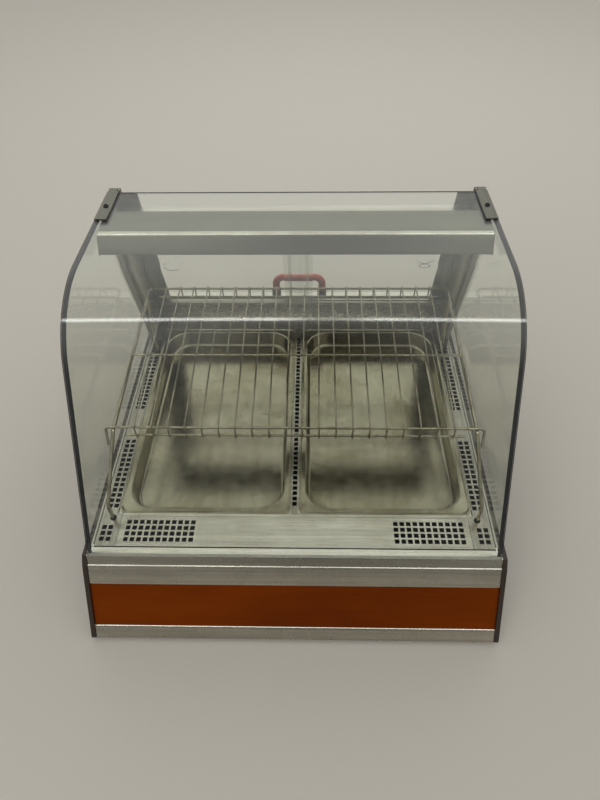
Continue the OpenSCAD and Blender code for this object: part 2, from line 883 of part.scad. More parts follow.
// Switch housing set in the back panel at x
module switch_housing(x) {
    front = back_panel_y - sheet_t;
    back = back_panel_y + bezel_t;
    housing_d = 18;
    well_d = 12;
    slot_x = rocker_w / 2 + trunnion_l + fit;
    end_play = 1;
    well = [rocker_w / 2 + run, rocker_l / 2 + end_play];
    difference() {
        union() {
            box([x - housing[0] / 2, front - housing_d, control_z - housing[1] / 2],
                [x + housing[0] / 2, back_panel_y, control_z + housing[1] / 2]);
            box([x - bezel[0] / 2, back_panel_y, control_z - bezel[1] / 2],
                [x + bezel[0] / 2, back, control_z + bezel[1] / 2]);
        }
        box([x - well[0], front - well_d, control_z - well[1]],
            [x + well[0], back + cut, control_z + well[1]]);
        bar_x(x - slot_x, x + slot_x, back_panel_y - trunnion_in, control_z, trunnion_d + fit);
    }
}

// Rocker on its trunnion, tipped to its off side
module rocker(x) {
    inner = [-4, 6];
    dip = 4;
    tip = [1.5, 5.5];
    half = rocker_l / 2;
    translate([x, back_panel_y - trunnion_in, control_z]) rotate([rocker_swing / 2, 0, 0]) {
        side_plate(-rocker_w / 2, rocker_w) polygon([
            [inner[0], -inner[1]], [tip[0], -half], [tip[1], -half], [dip, 0], [tip[1], half],
            [tip[0], half], inner
        ]);
        bar_x(-rocker_w / 2 - trunnion_l, rocker_w / 2 + trunnion_l, 0, 0, trunnion_d);
    }
}

module switch_housings() {
    color("#1c1c1c") for (x = rocker_xs) switch_housing(x);
}

module heat_rocker() { color("#b3201c") rocker(rocker_xs[0]); }

module light_rocker() { color("#2a7a3a") rocker(rocker_xs[1]); }

module pilot_lamp() {
    front = back_panel_y - sheet_t;
    body_l = 20;
    rim = 2;
    lens_h = 4;
    color("orange") {
        bar_y(pilot_x, front - body_l, back_panel_y, control_z, pilot_d);
        bar_y(pilot_x, back_panel_y, back_panel_y + rim, control_z, pilot_d + 2 * rim);
        translate([pilot_x, back_panel_y + rim, control_z]) rotate([-90, 0, 0])
            cylinder(d1 = pilot_d, d2 = pilot_d - 2 * rim, h = lens_h);
    }
}

module cable_gland() {
    front = back_panel_y - sheet_t;
    inner_l = 10;
    outer_l = 15;
    nut_t = 6;
    nut_d = gland_d + 4;
    hex_d = gland_d + 5;
    hex_h = 5;
    inner = front - inner_l;
    outer = back_panel_y + outer_l;
    color("#1c1c1c") difference() {
        union() {
            bar_y(gland_x, inner, back_panel_y, gland_z, gland_neck);
            bar_y(gland_x, front - nut_t, front, gland_z, nut_d);
            translate([gland_x, back_panel_y, gland_z]) rotate([-90, 0, 0])
                cylinder(d = hex_d, h = hex_h, $fn = 6);
            bar_y(gland_x, back_panel_y + hex_h, outer, gland_z, gland_d);
        }
        bar_y(gland_x, inner - cut, outer + cut, gland_z, gland_bore);
    }
}

module terminal_block() {
    block = [60, 18, 22];
    ways = 5;
    way_d = 5;
    way_z = 10;
    beside = 110;
    behind = 60;
    place = [gland_x - beside, floor_back - behind, floor_z + sheet_t];
    color("ivory") translate(place) difference() {
        cube(block);
        for (i = [0:ways - 1]) bar_y(block[0] * (i + 0.5) / ways, -cut, block[1] + cut, way_z, way_d);
    }
}

module post() {
    wall = 1.5;
    intersection() {
        leaning() translate([0, 0, -post_d]) linear_extrude(glass_h + 2 * post_d) {
            difference() {
                translate([post_in, -post_d]) square([post_w, post_d]);
                translate([post_in + wall, wall - post_d]) square([post_w - 2 * wall, post_d - 2 * wall]);
            }
            translate([post_in - flange_w, track_back]) square([flange_w + wall, -track_back]);
        }
        box([0, rear_foot - case_d, deck_z], [case_w, rear_foot + case_d, post_top]);
    }
}

module left_post() { color("silver") mirror([1, 0, 0]) post(); }

module right_post() { color("silver") post(); }

module upper_door_track() {
    color("silver") leaning() along_x(2 * (post_in - run)) difference() {
        translate([track_front, upper_track_l]) square([track_back - track_front, upper_track_h]);
        for (y = [groove_front, groove_rear]) {
            translate([y - groove_w, upper_track_l - cut]) square([groove_w, upper_groove + cut]);
        }
    }
}

module lower_door_track() {
    groove_z = sill_l + lower_track_h - lower_groove;
    color("silver") leaning() along_x(2 * (post_in - run)) difference() {
        translate([track_front, sill_l]) square([track_back - track_front, lower_track_h]);
        for (y = [groove_front, groove_rear]) {
            translate([y - groove_w, groove_z]) square([groove_w, lower_groove + cut]);
        }
    }
}

// Glass door in the groove that ends at depth y, closed on the +X side
module door(y) {
    x0 = door_stop - door_w;
    face = y - (groove_w - door_t) / 2;
    leaning() difference() {
        box([x0, face - door_t, door_low], [x0 + door_w, face, door_high]);
        translate([x0 + door_w - pull_edge, face + cut, (door_low + door_high) / 2]) rotate([90, 0, 0])
            cylinder(d = pull_d, h = pull_depth + cut);
    }
}

module left_door() { color("#cfe3dc", 0.4) mirror([1, 0, 0]) door(groove_front); }

module right_door() { color("#cfe3dc", 0.4) door(groove_rear); }

module side_glass() {
    groove_air = 1;
    end_air = 2.6;
    low = deck_z - groove_d + groove_air;
    groove_start = panel_y + seam + end_air;
    side_plate(glass_in, glass_t) intersection() {
        case_profile(glass_t + rim_gap_glass + seal_rim + fit, low, rear_y);
        polygon([
            [groove_start, low], [groove_start, sit], [-far, sit], [-far, top_z],
            [lean_y(glass_back, top_z), top_z], [lean_y(glass_back, low), low]
        ]);
    }
}

module left_side_glass() { color("#cfe3dc", 0.4) mirror([1, 0, 0]) side_glass(); }

module right_side_glass() { color("#cfe3dc", 0.4) side_glass(); }

// Rim strip between the side glass and the front glass, and the channel on its rear edge
module glass_seal() {
    rim_in = glass_t + rim_gap_glass;
    channel_air = 1;
    channel_top = top_z - rim_in - seal_rim - channel_air;
    side_plate(glass_in - seal_lap, glass_t + 2 * seal_lap) intersection() {
        difference() {
            case_profile(rim_in, sit, rear_y);
            case_profile(rim_in + seal_rim, sit - cut, rear_y + cut);
        }
        polygon([
            [-far, sit], [-far, top_z], [lean_y(glass_back, top_z), top_z], [lean_y(glass_back, sit), sit]
        ]);
    }
    intersection() {
        leaning() difference() {
            box([glass_in - seal_t, glass_back - seal_wrap, -post_d],
                [glass_out + seal_t, -post_d, glass_h + post_d]);
            box([glass_in - fit, glass_back - seal_wrap - cut, -post_d - cut],
                [glass_out + fit, glass_back + fit, glass_h + post_d + cut]);
        }
        box([0, rear_foot - case_d, deck_z], [case_w, rear_foot + case_d, channel_top]);
    }
}

module left_glass_seal() { color("#141414") mirror([1, 0, 0]) glass_seal(); }

module right_glass_seal() { color("#141414") glass_seal(); }

module glass_rest_strip() {
    end_air = 1;
    strip_set = 2;
    strip_d = 6;
    half = glass_in - end_air;
    front = deck_y + strip_set;
    back = front + strip_d;
    color("#141414") box([-half, front, deck_z], [half, back, deck_z + rest_strip_t]);
}

module front_glass() {
    color("#cfe3dc", 0.4) difference() {
        along_x(front_glass_w) difference() {
            case_profile(0, glass_foot_z, glass_rear);
            case_profile(glass_t, glass_foot_z - cut, glass_rear + cut);
        }
        for (s = [-1, 1]) translate([s * screw_x, screw_y, top_z - glass_t - cut]) {
            cylinder(d = screw_d + 2 * run, h = glass_t + 2 * cut);
        }
    }
}

// Plate on the glass with a barrel that turns on the hinge pin
module hinge_plate() {
    tongue = [plate_in + ear_w + run, plate_in + plate_w - ear_w - run];
    difference() {
        union() {
            box([plate_in, glass_rear - plate_l, top_z], [plate_in + plate_w, glass_rear, top_z + plate_t]);
            box([tongue[0], glass_rear - cut, top_z], [tongue[1], pin_y, top_z + plate_t]);
            bar_x(tongue[0], tongue[1], pin_y, pin_z, 2 * barrel_r);
        }
        bar_x(tongue[0] - cut, tongue[1] + cut, pin_y, pin_z, pin_d + fit);
        translate([screw_x, screw_y, top_z - cut]) cylinder(d = screw_d + snug, h = plate_t + 2 * cut);
    }
}

module hinge_plates() {
    color("silver") for (s = [0, 1]) mirror([s, 0, 0]) hinge_plate();
}

module hinge_brackets() {
    base_t = 2;
    base_front = 18;
    base_back = 8;
    press = 0.02;
    color("silver") for (s = [0, 1]) mirror([s, 0, 0]) difference() {
        union() {
            box([plate_in, pin_y - base_front, post_top],
                [plate_in + plate_w, pin_y + base_back, post_top + base_t]);
            for (x = [plate_in, plate_in + plate_w - ear_w]) {
                box([x, pin_y - barrel_r, post_top], [x + ear_w, pin_y + barrel_r, pin_z]);
                bar_x(x, x + ear_w, pin_y, pin_z, 2 * barrel_r);
            }
        }
        bar_x(plate_in - cut, plate_in + plate_w + cut, pin_y, pin_z, pin_d + press);
    }
}

module hinge_pins() {
    proud = 0.5;
    color("gray") for (s = [0, 1]) mirror([s, 0, 0]) {
        bar_x(plate_in - proud, plate_in + plate_w + proud, pin_y, pin_z, pin_d);
    }
}

module plate_screws() {
    color("#141414") for (s = [-1, 1]) translate([s * screw_x, screw_y, 0]) {
        translate([0, 0, top_z + plate_t]) cylinder(d = screw_head, h = screw_head_h);
        translate([0, 0, top_z - glass_t - pad_t]) cylinder(d = screw_d, h = glass_t + pad_t + plate_t + cut);
        translate([0, 0, top_z - glass_t - pad_t]) cylinder(d = pad_d, h = pad_t);
    }
}

// Outer section of the canopy, from its front lower corner round to its rear lower corner
function canopy_outline() = let (
    corner_y = canopy_front + canopy_t * front_tan,
    c = [corner_y + canopy_r * tan((90 - front_slope) / 2), canopy_top - canopy_r]
) concat(
    [[canopy_front, canopy_low]],
    arc(c, canopy_r, 180 - front_slope, 90),
    [[lean_y(canopy_back, canopy_top), canopy_top], [lean_y(canopy_back, canopy_low), canopy_low]]
);

module canopy_shell() {
    back = lean_y(canopy_back, canopy_low);
    color("lightgray") folded_sheet(concat(
        [[canopy_front + canopy_lip, canopy_low]], canopy_outline(), [[back - canopy_lip, canopy_low]]
    ), -sheet_t, canopy_w - 2 * cap_t);
}

module canopy_end_caps() {
    color("#55534e") for (s = [0, 1]) mirror([s, 0, 0]) {
        side_plate(canopy_w / 2 - cap_t, cap_t) polygon(canopy_outline());
    }
}

module lamp_reflector() {
    drop = 14;
    front_flare = 8;
    back_flare = 5;
    end_gap = 5;
    front_air = 26;
    back_air = 10;
    front = canopy_front + front_air;
    back = lean_y(canopy_back, canopy_top) - back_air;
    color("white") folded_sheet([
        [front - front_flare, reflector_top - drop], [front, reflector_top], [back, reflector_top],
        [back + back_flare, reflector_top - drop]
    ], -reflector_t, canopy_w - 2 * (cap_t + end_gap));
}

module lamp_tube() {
    cap_l = 14;
    cap_d = lamp_d + 2 * run;
    tube_end = lamp_end - cap_l;
    color("#f7f3e4") bar_x(-tube_end, tube_end, lamp_y, lamp_z, lamp_d);
    color("silver") for (s = [0, 1]) mirror([s, 0, 0]) {
        bar_x(tube_end, lamp_end - run, lamp_y, lamp_z, cap_d);
        for (y = lamp_pin_ys) bar_x(lamp_end - run, lamp_end + lamp_pin_l, y, lamp_z, lamp_pin_d);
    }
}

module lamp_holders() {
    half = 12;
    lift = 2;
    color("ivory") for (s = [0, 1]) mirror([s, 0, 0]) difference() {
        box([lamp_end, lamp_y - half, canopy_low + lift],
            [lamp_end + holder_w, lamp_y + half, reflector_top - reflector_t]);
        for (y = lamp_pin_ys) {
            bar_x(lamp_end - cut, lamp_end + lamp_pin_l + cut, y, lamp_z, lamp_pin_d + snug);
        }
    }
}

module rear_handle() {
    bend = 20;
    top = handle_z + handle_h - handle_rod / 2;
    foot = handle_z + boss_h;
    color("#b5232a") translate([0, handle_y, 0]) rotate([90, 0, 0]) bent_rod([
        [-handle_x, foot], [-handle_x, top], [handle_x, top], [handle_x, foot]
    ], handle_rod, bend);
}

module handle_bosses() {
    boss_wall = 2;
    color("#141414") for (s = [-1, 1]) translate([s * handle_x, handle_y, handle_z]) {
        cylinder(d = handle_rod + 2 * boss_wall, h = boss_h);
    }
}

// Straight rod from a to b
module rod(a, b, d) {
    v = b - a;
    translate(a) rotate([0, acos(v[2] / norm(v)), atan2(v[1], v[0])]) cylinder(d = d, h = norm(v));
}

// Corners of a side frame in (Y, Z): front foot, knee, front of the side bar, its back, heel, rear foot
function rack_corners() = let (bar_back = (back_foot_y - shelf_pt(0, -bar_drop)[0]) / cos(rack_tilt)) [
    [foot_y, deck_z - foot_sink], [foot_y, knee_z], shelf_pt(-bar_over, -bar_drop),
    shelf_pt(bar_back, -bar_drop), [back_foot_y, heel_z], [back_foot_y, deck_z - foot_sink]
];

// Side frame of the rack: front foot, leaning leg, side bar under the shelf, rear leg and rear foot
module rack_side() {
    corners = rack_corners();
    xs = [rod_x, rod_x, side_x, side_x, rod_x, rod_x];
    path = [for (i = [0:len(xs) - 1]) [xs[i], corners[i][0], corners[i][1]]];
    for (i = [0:len(path) - 2]) rod(path[i], path[i + 1], frame_rod);
    for (i = [1:len(path) - 2]) translate(path[i]) sphere(d = knuckle);
}

// Front top rail, whose ends turn in and down to the leaning legs
module front_rail() {
    leg = rack_corners();
    joint = leg[2] + loop_at * (leg[1] - leg[2]);
    bar_x(-rail_x, rail_x, rail_f[0], rail_f[1], rail_rod);
    for (s = [-1, 1]) {
        end = [s * rail_x, rail_f[0], rail_f[1]];
        rod(end, [s * loop_x, joint[0], joint[1]], rail_rod);
        translate(end) sphere(d = rail_rod + swell);
    }
}

module rack_frame() {
    color("#8d8a80") for (s = [0, 1]) mirror([s, 0, 0]) rack_side();
}

// Shelf drawn level, with its front top rail on the X axis, then tilted into place
module rack_shelf() {
    wire_over = 2;
    wire_end = -lower_drop - wire_over;
    bend = 12;
    color("#a9a59a") front_rail();
    color("#a9a59a") translate([0, rail_f[0], rail_f[1]]) rotate([rack_tilt, 0, 0]) {
        bent_rod([
            [-side_x, shelf_d - turn_l], [-side_x, shelf_d], [side_x, shelf_d],
            [side_x, shelf_d - turn_l]
        ], rail_rod, bend);
        for (y = [0, shelf_d]) bar_x(-lower_rail_w / 2, lower_rail_w / 2, y, -lower_drop, rail_rod);
        bar_x(-side_x, side_x, mid_l, wire_off - (wire_rod + mid_rod) / 2 - weld, mid_rod);
        for (i = [0:wire_n - 1]) in_yz(-wire_span / 2 + i * wire_span / (wire_n - 1)) bent_rod([
            [-wire_off, wire_end], [-wire_off, wire_off], [shelf_d + wire_off, wire_off],
            [shelf_d + wire_off, wire_end]
        ], wire_rod, wire_off);
    }
}

base_floor();
panel_screws();
feet();
left_end_panel();
right_end_panel();
front_nosing();
front_wood_panel();
lower_front_trim();
left_glass_rail();
right_glass_rail();
left_deck_strip();
right_deck_strip();
rack_grommets();
centre_divider();
pan_cross_rail();
rear_deck_strip();
front_deck_panel();
left_pan();
right_pan();
heaters();
heater_brackets();
heat_tray();
rear_base_panel();
rear_ledge();
rear_sill();
thermostat();
thermostat_shaft();
thermostat_knob();
switch_housings();
heat_rocker();
light_rocker();
pilot_lamp();
cable_gland();
terminal_block();
left_post();
right_post();
upper_door_track();
lower_door_track();
left_door();
right_door();
left_side_glass();
right_side_glass();
left_glass_seal();
right_glass_seal();
glass_rest_strip();
front_glass();
hinge_plates();
hinge_brackets();
hinge_pins();
plate_screws();
canopy_shell();
canopy_end_caps();
lamp_reflector();
lamp_tube();
lamp_holders();
rear_handle();
handle_bosses();
rack_frame();
rack_shelf();
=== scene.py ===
import math

import bpy
import numpy as np
from mathutils import Matrix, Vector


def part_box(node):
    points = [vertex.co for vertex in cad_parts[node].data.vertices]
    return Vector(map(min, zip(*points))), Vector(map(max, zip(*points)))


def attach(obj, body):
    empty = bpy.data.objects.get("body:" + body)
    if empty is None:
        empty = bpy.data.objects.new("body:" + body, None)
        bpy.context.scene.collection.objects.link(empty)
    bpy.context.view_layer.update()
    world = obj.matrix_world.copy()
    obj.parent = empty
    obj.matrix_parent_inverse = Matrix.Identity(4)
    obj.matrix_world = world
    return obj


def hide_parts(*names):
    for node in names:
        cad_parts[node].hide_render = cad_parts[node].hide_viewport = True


bl_info = {
    "name": "Hot Food Display Case",
    "version": (1, 0, 0),
    "blender": (4, 5, 0),
    "location": "View3D > Sidebar > Display Case",
    "description": "Dresses a heated counter-top food display case around its CAD frame",
    "category": "Object",
}

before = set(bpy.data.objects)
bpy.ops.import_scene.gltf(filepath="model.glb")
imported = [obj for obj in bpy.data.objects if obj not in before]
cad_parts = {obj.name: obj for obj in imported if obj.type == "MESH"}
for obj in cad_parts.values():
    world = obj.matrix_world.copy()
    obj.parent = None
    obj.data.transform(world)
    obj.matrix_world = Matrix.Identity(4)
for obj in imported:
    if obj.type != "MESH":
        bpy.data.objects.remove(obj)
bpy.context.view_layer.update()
MM = 0.001

# Reference planes, read from the frame
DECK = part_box("rear_deck_strip")[1].z
REAR_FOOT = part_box("rear_deck_strip")[1].y
GLASS_LOW, GLASS_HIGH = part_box("front_glass")
TRIM_LOW, TRIM_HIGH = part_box("lower_front_trim")
PAN_LOW, PAN_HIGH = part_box("right_pan")
NOSING_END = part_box("front_nosing")[1].x
LEDGE_LOW, LEDGE_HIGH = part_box("rear_ledge")
CANOPY_LOW, CANOPY_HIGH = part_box("canopy_shell")
SEAL_LOW, SEAL_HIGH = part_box("right_glass_seal")
BACK_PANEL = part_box("rear_base_panel")[1].y

# Directions, and the cosine of the widest angle between one of them and a face that looks along it
RIGHT, BACK, UP = (1, 0, 0), (0, 1, 0), (0, 0, 1)
ENDS = (RIGHT, (-1, 0, 0))
# Faces of the canopy's round edge that look this way get a painted highlight
HIGHLIGHT_FACING = (0, -0.47, 0.88)
LOOKS_ALONG = 0.9


# Sizes and colours that a user would change

def hex_colour(code):
    """Linear RGB of an sRGB hex value: c / 12.92 if c is small, ((c + 0.055) / 1.055) ^ 2.4 above that."""
    channels = np.array([int(code[i:i + 2], 16) for i in (1, 3, 5)]) / 255.0
    return tuple(np.where(channels <= 0.04045, channels / 12.92, ((channels + 0.055) / 1.055) ** 2.4))


def length(name, description, millimetres):
    """A length property given in millimetres."""
    return bpy.props.FloatProperty(
        name=name, description=description, default=millimetres * MM, unit="LENGTH")


def slope(name, description, degrees):
    """An angle property given in degrees."""
    return bpy.props.FloatProperty(
        name=name, description=description, default=math.radians(degrees), subtype="ANGLE")


def colour(name, description, code):
    """A colour property given as sRGB hex."""
    return bpy.props.FloatVectorProperty(
        name=name, description=description, default=hex_colour(code), subtype="COLOR", min=0.0, max=1.0)


class DisplayCaseSizes(bpy.types.PropertyGroup):
    """Sizes of the pieces that are drawn around the CAD frame"""
    front_slope: slope("Front slope", "Slope of the front glass from upright", 30.3)
    rear_lean: slope("Rear lean", "Lean of the rear frame from upright", 13.3)
    glass_bend: length("Glass bend", "Outer radius of the bend in the front glass", 180)
    glass_thickness: length("Glass thickness", "Thickness of the front glass", 6)
    sheet: length("Sheet", "Thickness of the folded steel", 1.2)
    fold: length("Fold radius", "Middle radius of a sharp fold in the steel", 1.6)
    nose_drop: length("Nose drop", "Drop of the nosing edge below the deck", 16.4)
    nose_step: length("Nose step", "Height of the step over the band", 0.8)
    riser_in: length("Riser set-back", "Set-back of the strip above the band", 1.5)
    band: length("Band", "Height of the steel band under the nosing", 33.6)
    fold_back: length("Fold back", "Width of the folded edge behind the front panel", 10)
    ledge_depth: length("Ledge depth", "Depth of the steel ledge in front of the deck", 21.2)
    ledge_lip: length("Ledge lip", "Drop of the ledge's rear edge", 1.8)
    canopy_edge: length("Canopy edge", "Radius of the canopy's front edge", 9)
    canopy_lip: length("Canopy lip", "Width of the canopy's lower lips", 14)
    post_depth: length("Post depth", "Depth of a rear post", 79)
    seal_gap: length("Seal gap", "Gap from the front glass to the rim seal", 0.4)
    seal_rim: length("Seal", "Thickness of the rim seal", 2)
    seal_side: length("Seal side", "Set-in of the rim seal from the channel's inner side", 3.1)
    seal_out: length("Seal outside", "Set-in of the rim seal from the channel's outer side", 0.8)
    pane_in: length("Pane set-in", "Set-in of the ends of the front glass", 2.5)
    channel_back: length("Channel back", "Thickness of the back of the glass channel", 4)
    channel_wrap: length("Channel wrap", "Reach of the glass channel over the glass", 14)
    channel_wall: length("Channel wall", "Thickness of the sides of the glass channel", 1.5)
    channel_gap: length("Channel gap", "Gap from the channel's top to the rim seal", 3)
    rack_tilt: slope("Rack tilt", "Slope of the rack's shelf", 4.7)
    rack_side: length("Rack side", "Distance from the pans to the rack's side frames", 7.5)
    rack_foot: length("Rack foot", "Distance from the pans to the rack's front feet", 11.5)
    rack_span: length("Rack span", "Distance between the front and rear feet", 457)
    rack_sink: length("Rack sink", "Depth of the feet in the deck", 7.7)
    rack_knee: length("Rack knee", "Height of the front legs' bend", 40)
    rack_heel: length("Rack heel", "Height of the upright part of the rear feet", 12)
    rack_lean: length("Rack lean", "Lean of the side frames from the feet in to the shelf", 9)
    rail_back: length("Rail set-back", "Distance from the front feet to the front rail", 105)
    rail_height: length("Rail height", "Height of the front rail over the deck", 140.5)
    shelf_depth: length("Shelf depth", "Depth of the shelf between its rails", 377)
    lower_drop: length("Lower rail drop", "Drop of the lower rails below the upper ones", 24.5)
    lower_over: length("Lower rail end", "Reach of the lower rails past the outer wires", 22)
    middle_wire: length("Middle wire", "Distance from the front rail to the middle wire", 176)
    rail_end: length("Rail end", "Reach of the front rail past its turned-in ends", 5)
    weld: length("Weld", "Gap of rods that touch", 0.15)
    frame_rod: length("Frame rod", "Diameter of the rack's side frames", 7)
    rail_rod: length("Rail rod", "Diameter of the rack's rails", 5)
    wire_rod: length("Wire rod", "Diameter of the rack's long wires", 3)
    middle_rod: length("Middle rod", "Diameter of the rack's middle wire", 4)
    wire_span: length("Wire span", "Width covered by the long wires", 582)
    wires: bpy.props.IntProperty(
        name="Wires", description="Number of long wires in the rack", default=20, min=2)
    left_door_face: length("Left door face", "Depth of the left door's front in the rear frame", -18.55)
    right_door_face: length("Right door face", "Depth of the right door's front in the rear frame", -9.55)
    grip_width: length("Grip strip", "Width of the grip strips on the doors", 6)
    grip_thickness: length("Grip thickness", "Thickness of the grip strips on the doors", 2.5)
    grip_in: length("Grip set-in", "Set-in of the grip strips from the doors' upright edges", 10)
    grip_gap: length("Grip gap", "Gap from the grip strips to the door tracks", 8)
    handle_rod: length("Handle bar", "Diameter of the rear handle", 18)
    handle_bend: length("Handle bend", "Radius of the bends in the rear handle", 20)
    screw_radius: length("Plate screw", "Radius of the screw heads on the hinge plates", 5)
    panel_screw_radius: length("Panel screw", "Radius of the screw heads on the back panel", 4)


class DisplayCaseColours(bpy.types.PropertyGroup):
    """Colours of the finishes"""
    steel: colour("Steel", "Brushed stainless of the fascia", "#b9b5a9")
    deck: colour("Deck", "Wiped stainless of the front of the deck", "#d6d2c5")
    # Ledge colour is painted light: a far paler copy of the steel for the faces that look up.
    ledge: colour("Ledge", "Stainless of the ledges, polished by wiping", "#f1ede1")
    # The strips are darker than the deck as a painted reflection of the dark canopy above them.
    strip: colour("Strips", "Duller stainless of the strips beside the pans", "#b8b4a8")
    plate: colour("Plate", "Dull steel of the hinge plates", "#85837a")
    pan: colour("Pan", "Stained stainless of the pans", "#b4af9a")
    canopy: colour("Canopy", "Brushed stainless of the canopy", "#969486")
    post: colour("Post", "Stainless of the rear posts", "#a6a498")
    aluminium: colour("Aluminium", "Satin aluminium of the rails and tracks", "#d3cfc2")
    channel: colour("Channel", "Cream plastic of the glazing channels", "#d8d2bf")
    # Nearly black: heat darkening plus painted shade inside the base, so that the air holes read black.
    smoke_and_shade: colour("Smoked steel", "Heat-darkened steel inside the base", "#1e1c19")
    wire: colour("Wire", "Dulled chrome of the rack", "#aca692")
    wood: colour("Front panel", "Stained and lacquered veneer of the front panel", "#662a00")
    laminate: colour("End panel", "Dark laminate of the end panels", "#2a1c13")
    glass: colour("Glass", "Tint of the clear glass", "#f3f5f1")
    glass_edge: colour("Glass edge", "Ground edge of the front glass", "#07100d")
    door_edge: colour("Door edge", "Polished edge of the door glass", "#d4dbd2")
    silicone: colour("Silicone", "Clear strip under the front glass", "#d9d6c8")
    rubber: colour("Rubber", "Seals and feet", "#0d0d0d")
    handle: colour("Handle", "Red grip", "#b33c31")
    rocker_on: colour("Heat switch", "Red rocker", "#a8231c")
    rocker_light: colour("Light switch", "Green rocker", "#2f7a3b")
    amber: colour("Pilot", "Amber lens", "#d98a1e")
    ceramic: colour("Ceramic", "Lamp holders and terminal block", "#d8d2c2")
    # Painted shade: the white reflector is darkened so that the shade under the canopy, and its reflection
    # in the pans, reads dark.
    shaded_enamel: colour("Enamel", "Heat-browned white lamp reflector", "#a39d8c")
    lamp: colour("Lamp", "Frosted lamp tube", "#cfc8b6")
    sheath: colour("Heater", "Oxidised sheath of the heaters", "#3d3936")
    mark: colour("Marking", "White pointer and tick marks", "#dcdad4")
    floor: colour("Floor", "Pale floor", "#a9a39a")


def sizes():
    """The scene's size settings."""
    return bpy.context.scene.display_case_sizes


def colours(name):
    """One of the scene's colours, with alpha."""
    return (*getattr(bpy.context.scene.display_case_colours, name), 1.0)


# Shapes: each function returns (vertices, faces)

def grid_faces(rows, columns, wrap):
    """Quads of a grid of points; wrap joins the last column to the first."""
    index = np.arange(rows * columns).reshape(rows, columns)
    near, far = (index, np.roll(index, -1, axis=1)) if wrap else (index[:, :-1], index[:, 1:])
    return np.stack([near[:-1], far[:-1], far[1:], near[1:]], axis=-1).reshape(-1, 4).tolist()


def ringed(points):
    """Closed skin over a stack of rings, given as (rows, columns, 3), with a flat cap on both ends."""
    rows, columns = points.shape[:2]
    first = np.arange(columns)[::-1].tolist()
    last = (np.arange(columns) + (rows - 1) * columns).tolist()
    return points.reshape(-1, 3), grid_faces(rows, columns, True) + [first, last]


def joined(parts):
    """Several shapes as one."""
    starts = np.cumsum([0] + [len(points) for points, _ in parts])
    faces = [
        (np.array(face) + start).tolist() for (_, part), start in zip(parts, starts) for face in part]
    return np.concatenate([points for points, _ in parts]), faces


def rounded(points, radii, steps=8):
    """Polyline with each inner corner replaced by an arc of its radius, tangent to both sides."""
    points = np.asarray(points, float)
    radii = np.broadcast_to(radii, len(points) - 2)
    out = [points[:1]]
    for a, p, b, radius in zip(points[:-2], points[1:-1], points[2:], radii):
        u = (p - a) / np.linalg.norm(p - a)
        v = (b - p) / np.linalg.norm(b - p)
        turn = math.acos(float(np.clip(u @ v, -1, 1)))
        trim = radius * math.tan(turn / 2)
        side = v - u * (u @ v)
        side /= np.linalg.norm(side)
        w = np.linspace(0, turn, steps + 1)[:, None]
        out.append(p - u * trim + radius * (np.sin(w) * u + (1 - np.cos(w)) * side))
    return np.concatenate(out + [points[-1:]])


def tube(path, radius, across, sides=14):
    """Round bar on a path that never runs along across: the ring at each point is
    radius * (cos a * normal + sin a * side), where normal is across x tangent and side tangent x normal."""
    path, across = np.asarray(path, float), np.asarray(across, float)
    tangent = np.gradient(path, axis=0)
    tangent /= np.linalg.norm(tangent, axis=1, keepdims=True)
    normal = np.cross(across, tangent)
    normal /= np.linalg.norm(normal, axis=1, keepdims=True)
    side = np.cross(tangent, normal)
    turn = np.linspace(0, 2 * np.pi, sides, endpoint=False)[None, :, None]
    return ringed(path[:, None] + radius * (np.cos(turn) * normal[:, None] + np.sin(turn) * side[:, None]))


def prism(outline, x0, x1):
    """A closed (Y, Z) outline carried along X from x0 to x1."""
    outline = np.asarray(outline, float)
    y, z = outline.T
    if np.sum(y * np.roll(z, -1) - np.roll(y, -1) * z) < 0:
        outline = outline[::-1]
    ends = [np.column_stack([np.full(len(outline), x), outline]) for x in (x0, x1)]
    return ringed(np.stack(ends))


def sheet_outline(points, thickness, radii):
    """Section of a folded sheet: the folded line, set in by half the thickness on its left, gets a round
    fold at each corner, and both faces lie half a thickness from it along its normal."""
    points = np.asarray(points, float)
    d = np.diff(points, axis=0)
    n = np.column_stack([-d[:, 1], d[:, 0]]) / np.linalg.norm(d, axis=1, keepdims=True)
    m = n[:-1] + n[1:]
    shift = np.concatenate([n[:1], 2 * m / np.sum(m * m, axis=1, keepdims=True), n[-1:]])
    line = rounded(points + shift * thickness / 2, radii)
    tangent = np.gradient(line, axis=0)
    tangent /= np.linalg.norm(tangent, axis=1, keepdims=True)
    normal = np.column_stack([-tangent[:, 1], tangent[:, 0]]) * abs(thickness) / 2
    return np.concatenate([line + normal, (line - normal)[::-1]])


def lathe(profile, origin, axis, sides=32, swell=None):
    """A (radius, height) profile turned about an axis through origin that is square to X; swell, a function
    of the turn, scales the radius of the rows where the profile's third column is 1."""
    profile, axis = np.asarray(profile, float), np.asarray(axis, float)
    side = np.cross(axis, RIGHT)
    other = np.cross(axis, side)
    turn = np.linspace(0, 2 * np.pi, sides, endpoint=False)
    radius = np.repeat(profile[:, :1], sides, axis=1)
    if swell is not None:
        radius = radius * np.where(profile[:, 2:3] > 0, swell(turn)[None], 1.0)
    spoke = np.cos(turn)[:, None] * side + np.sin(turn)[:, None] * other
    return ringed(np.asarray(origin) + radius[..., None] * spoke[None] + profile[:, 1, None, None] * axis)


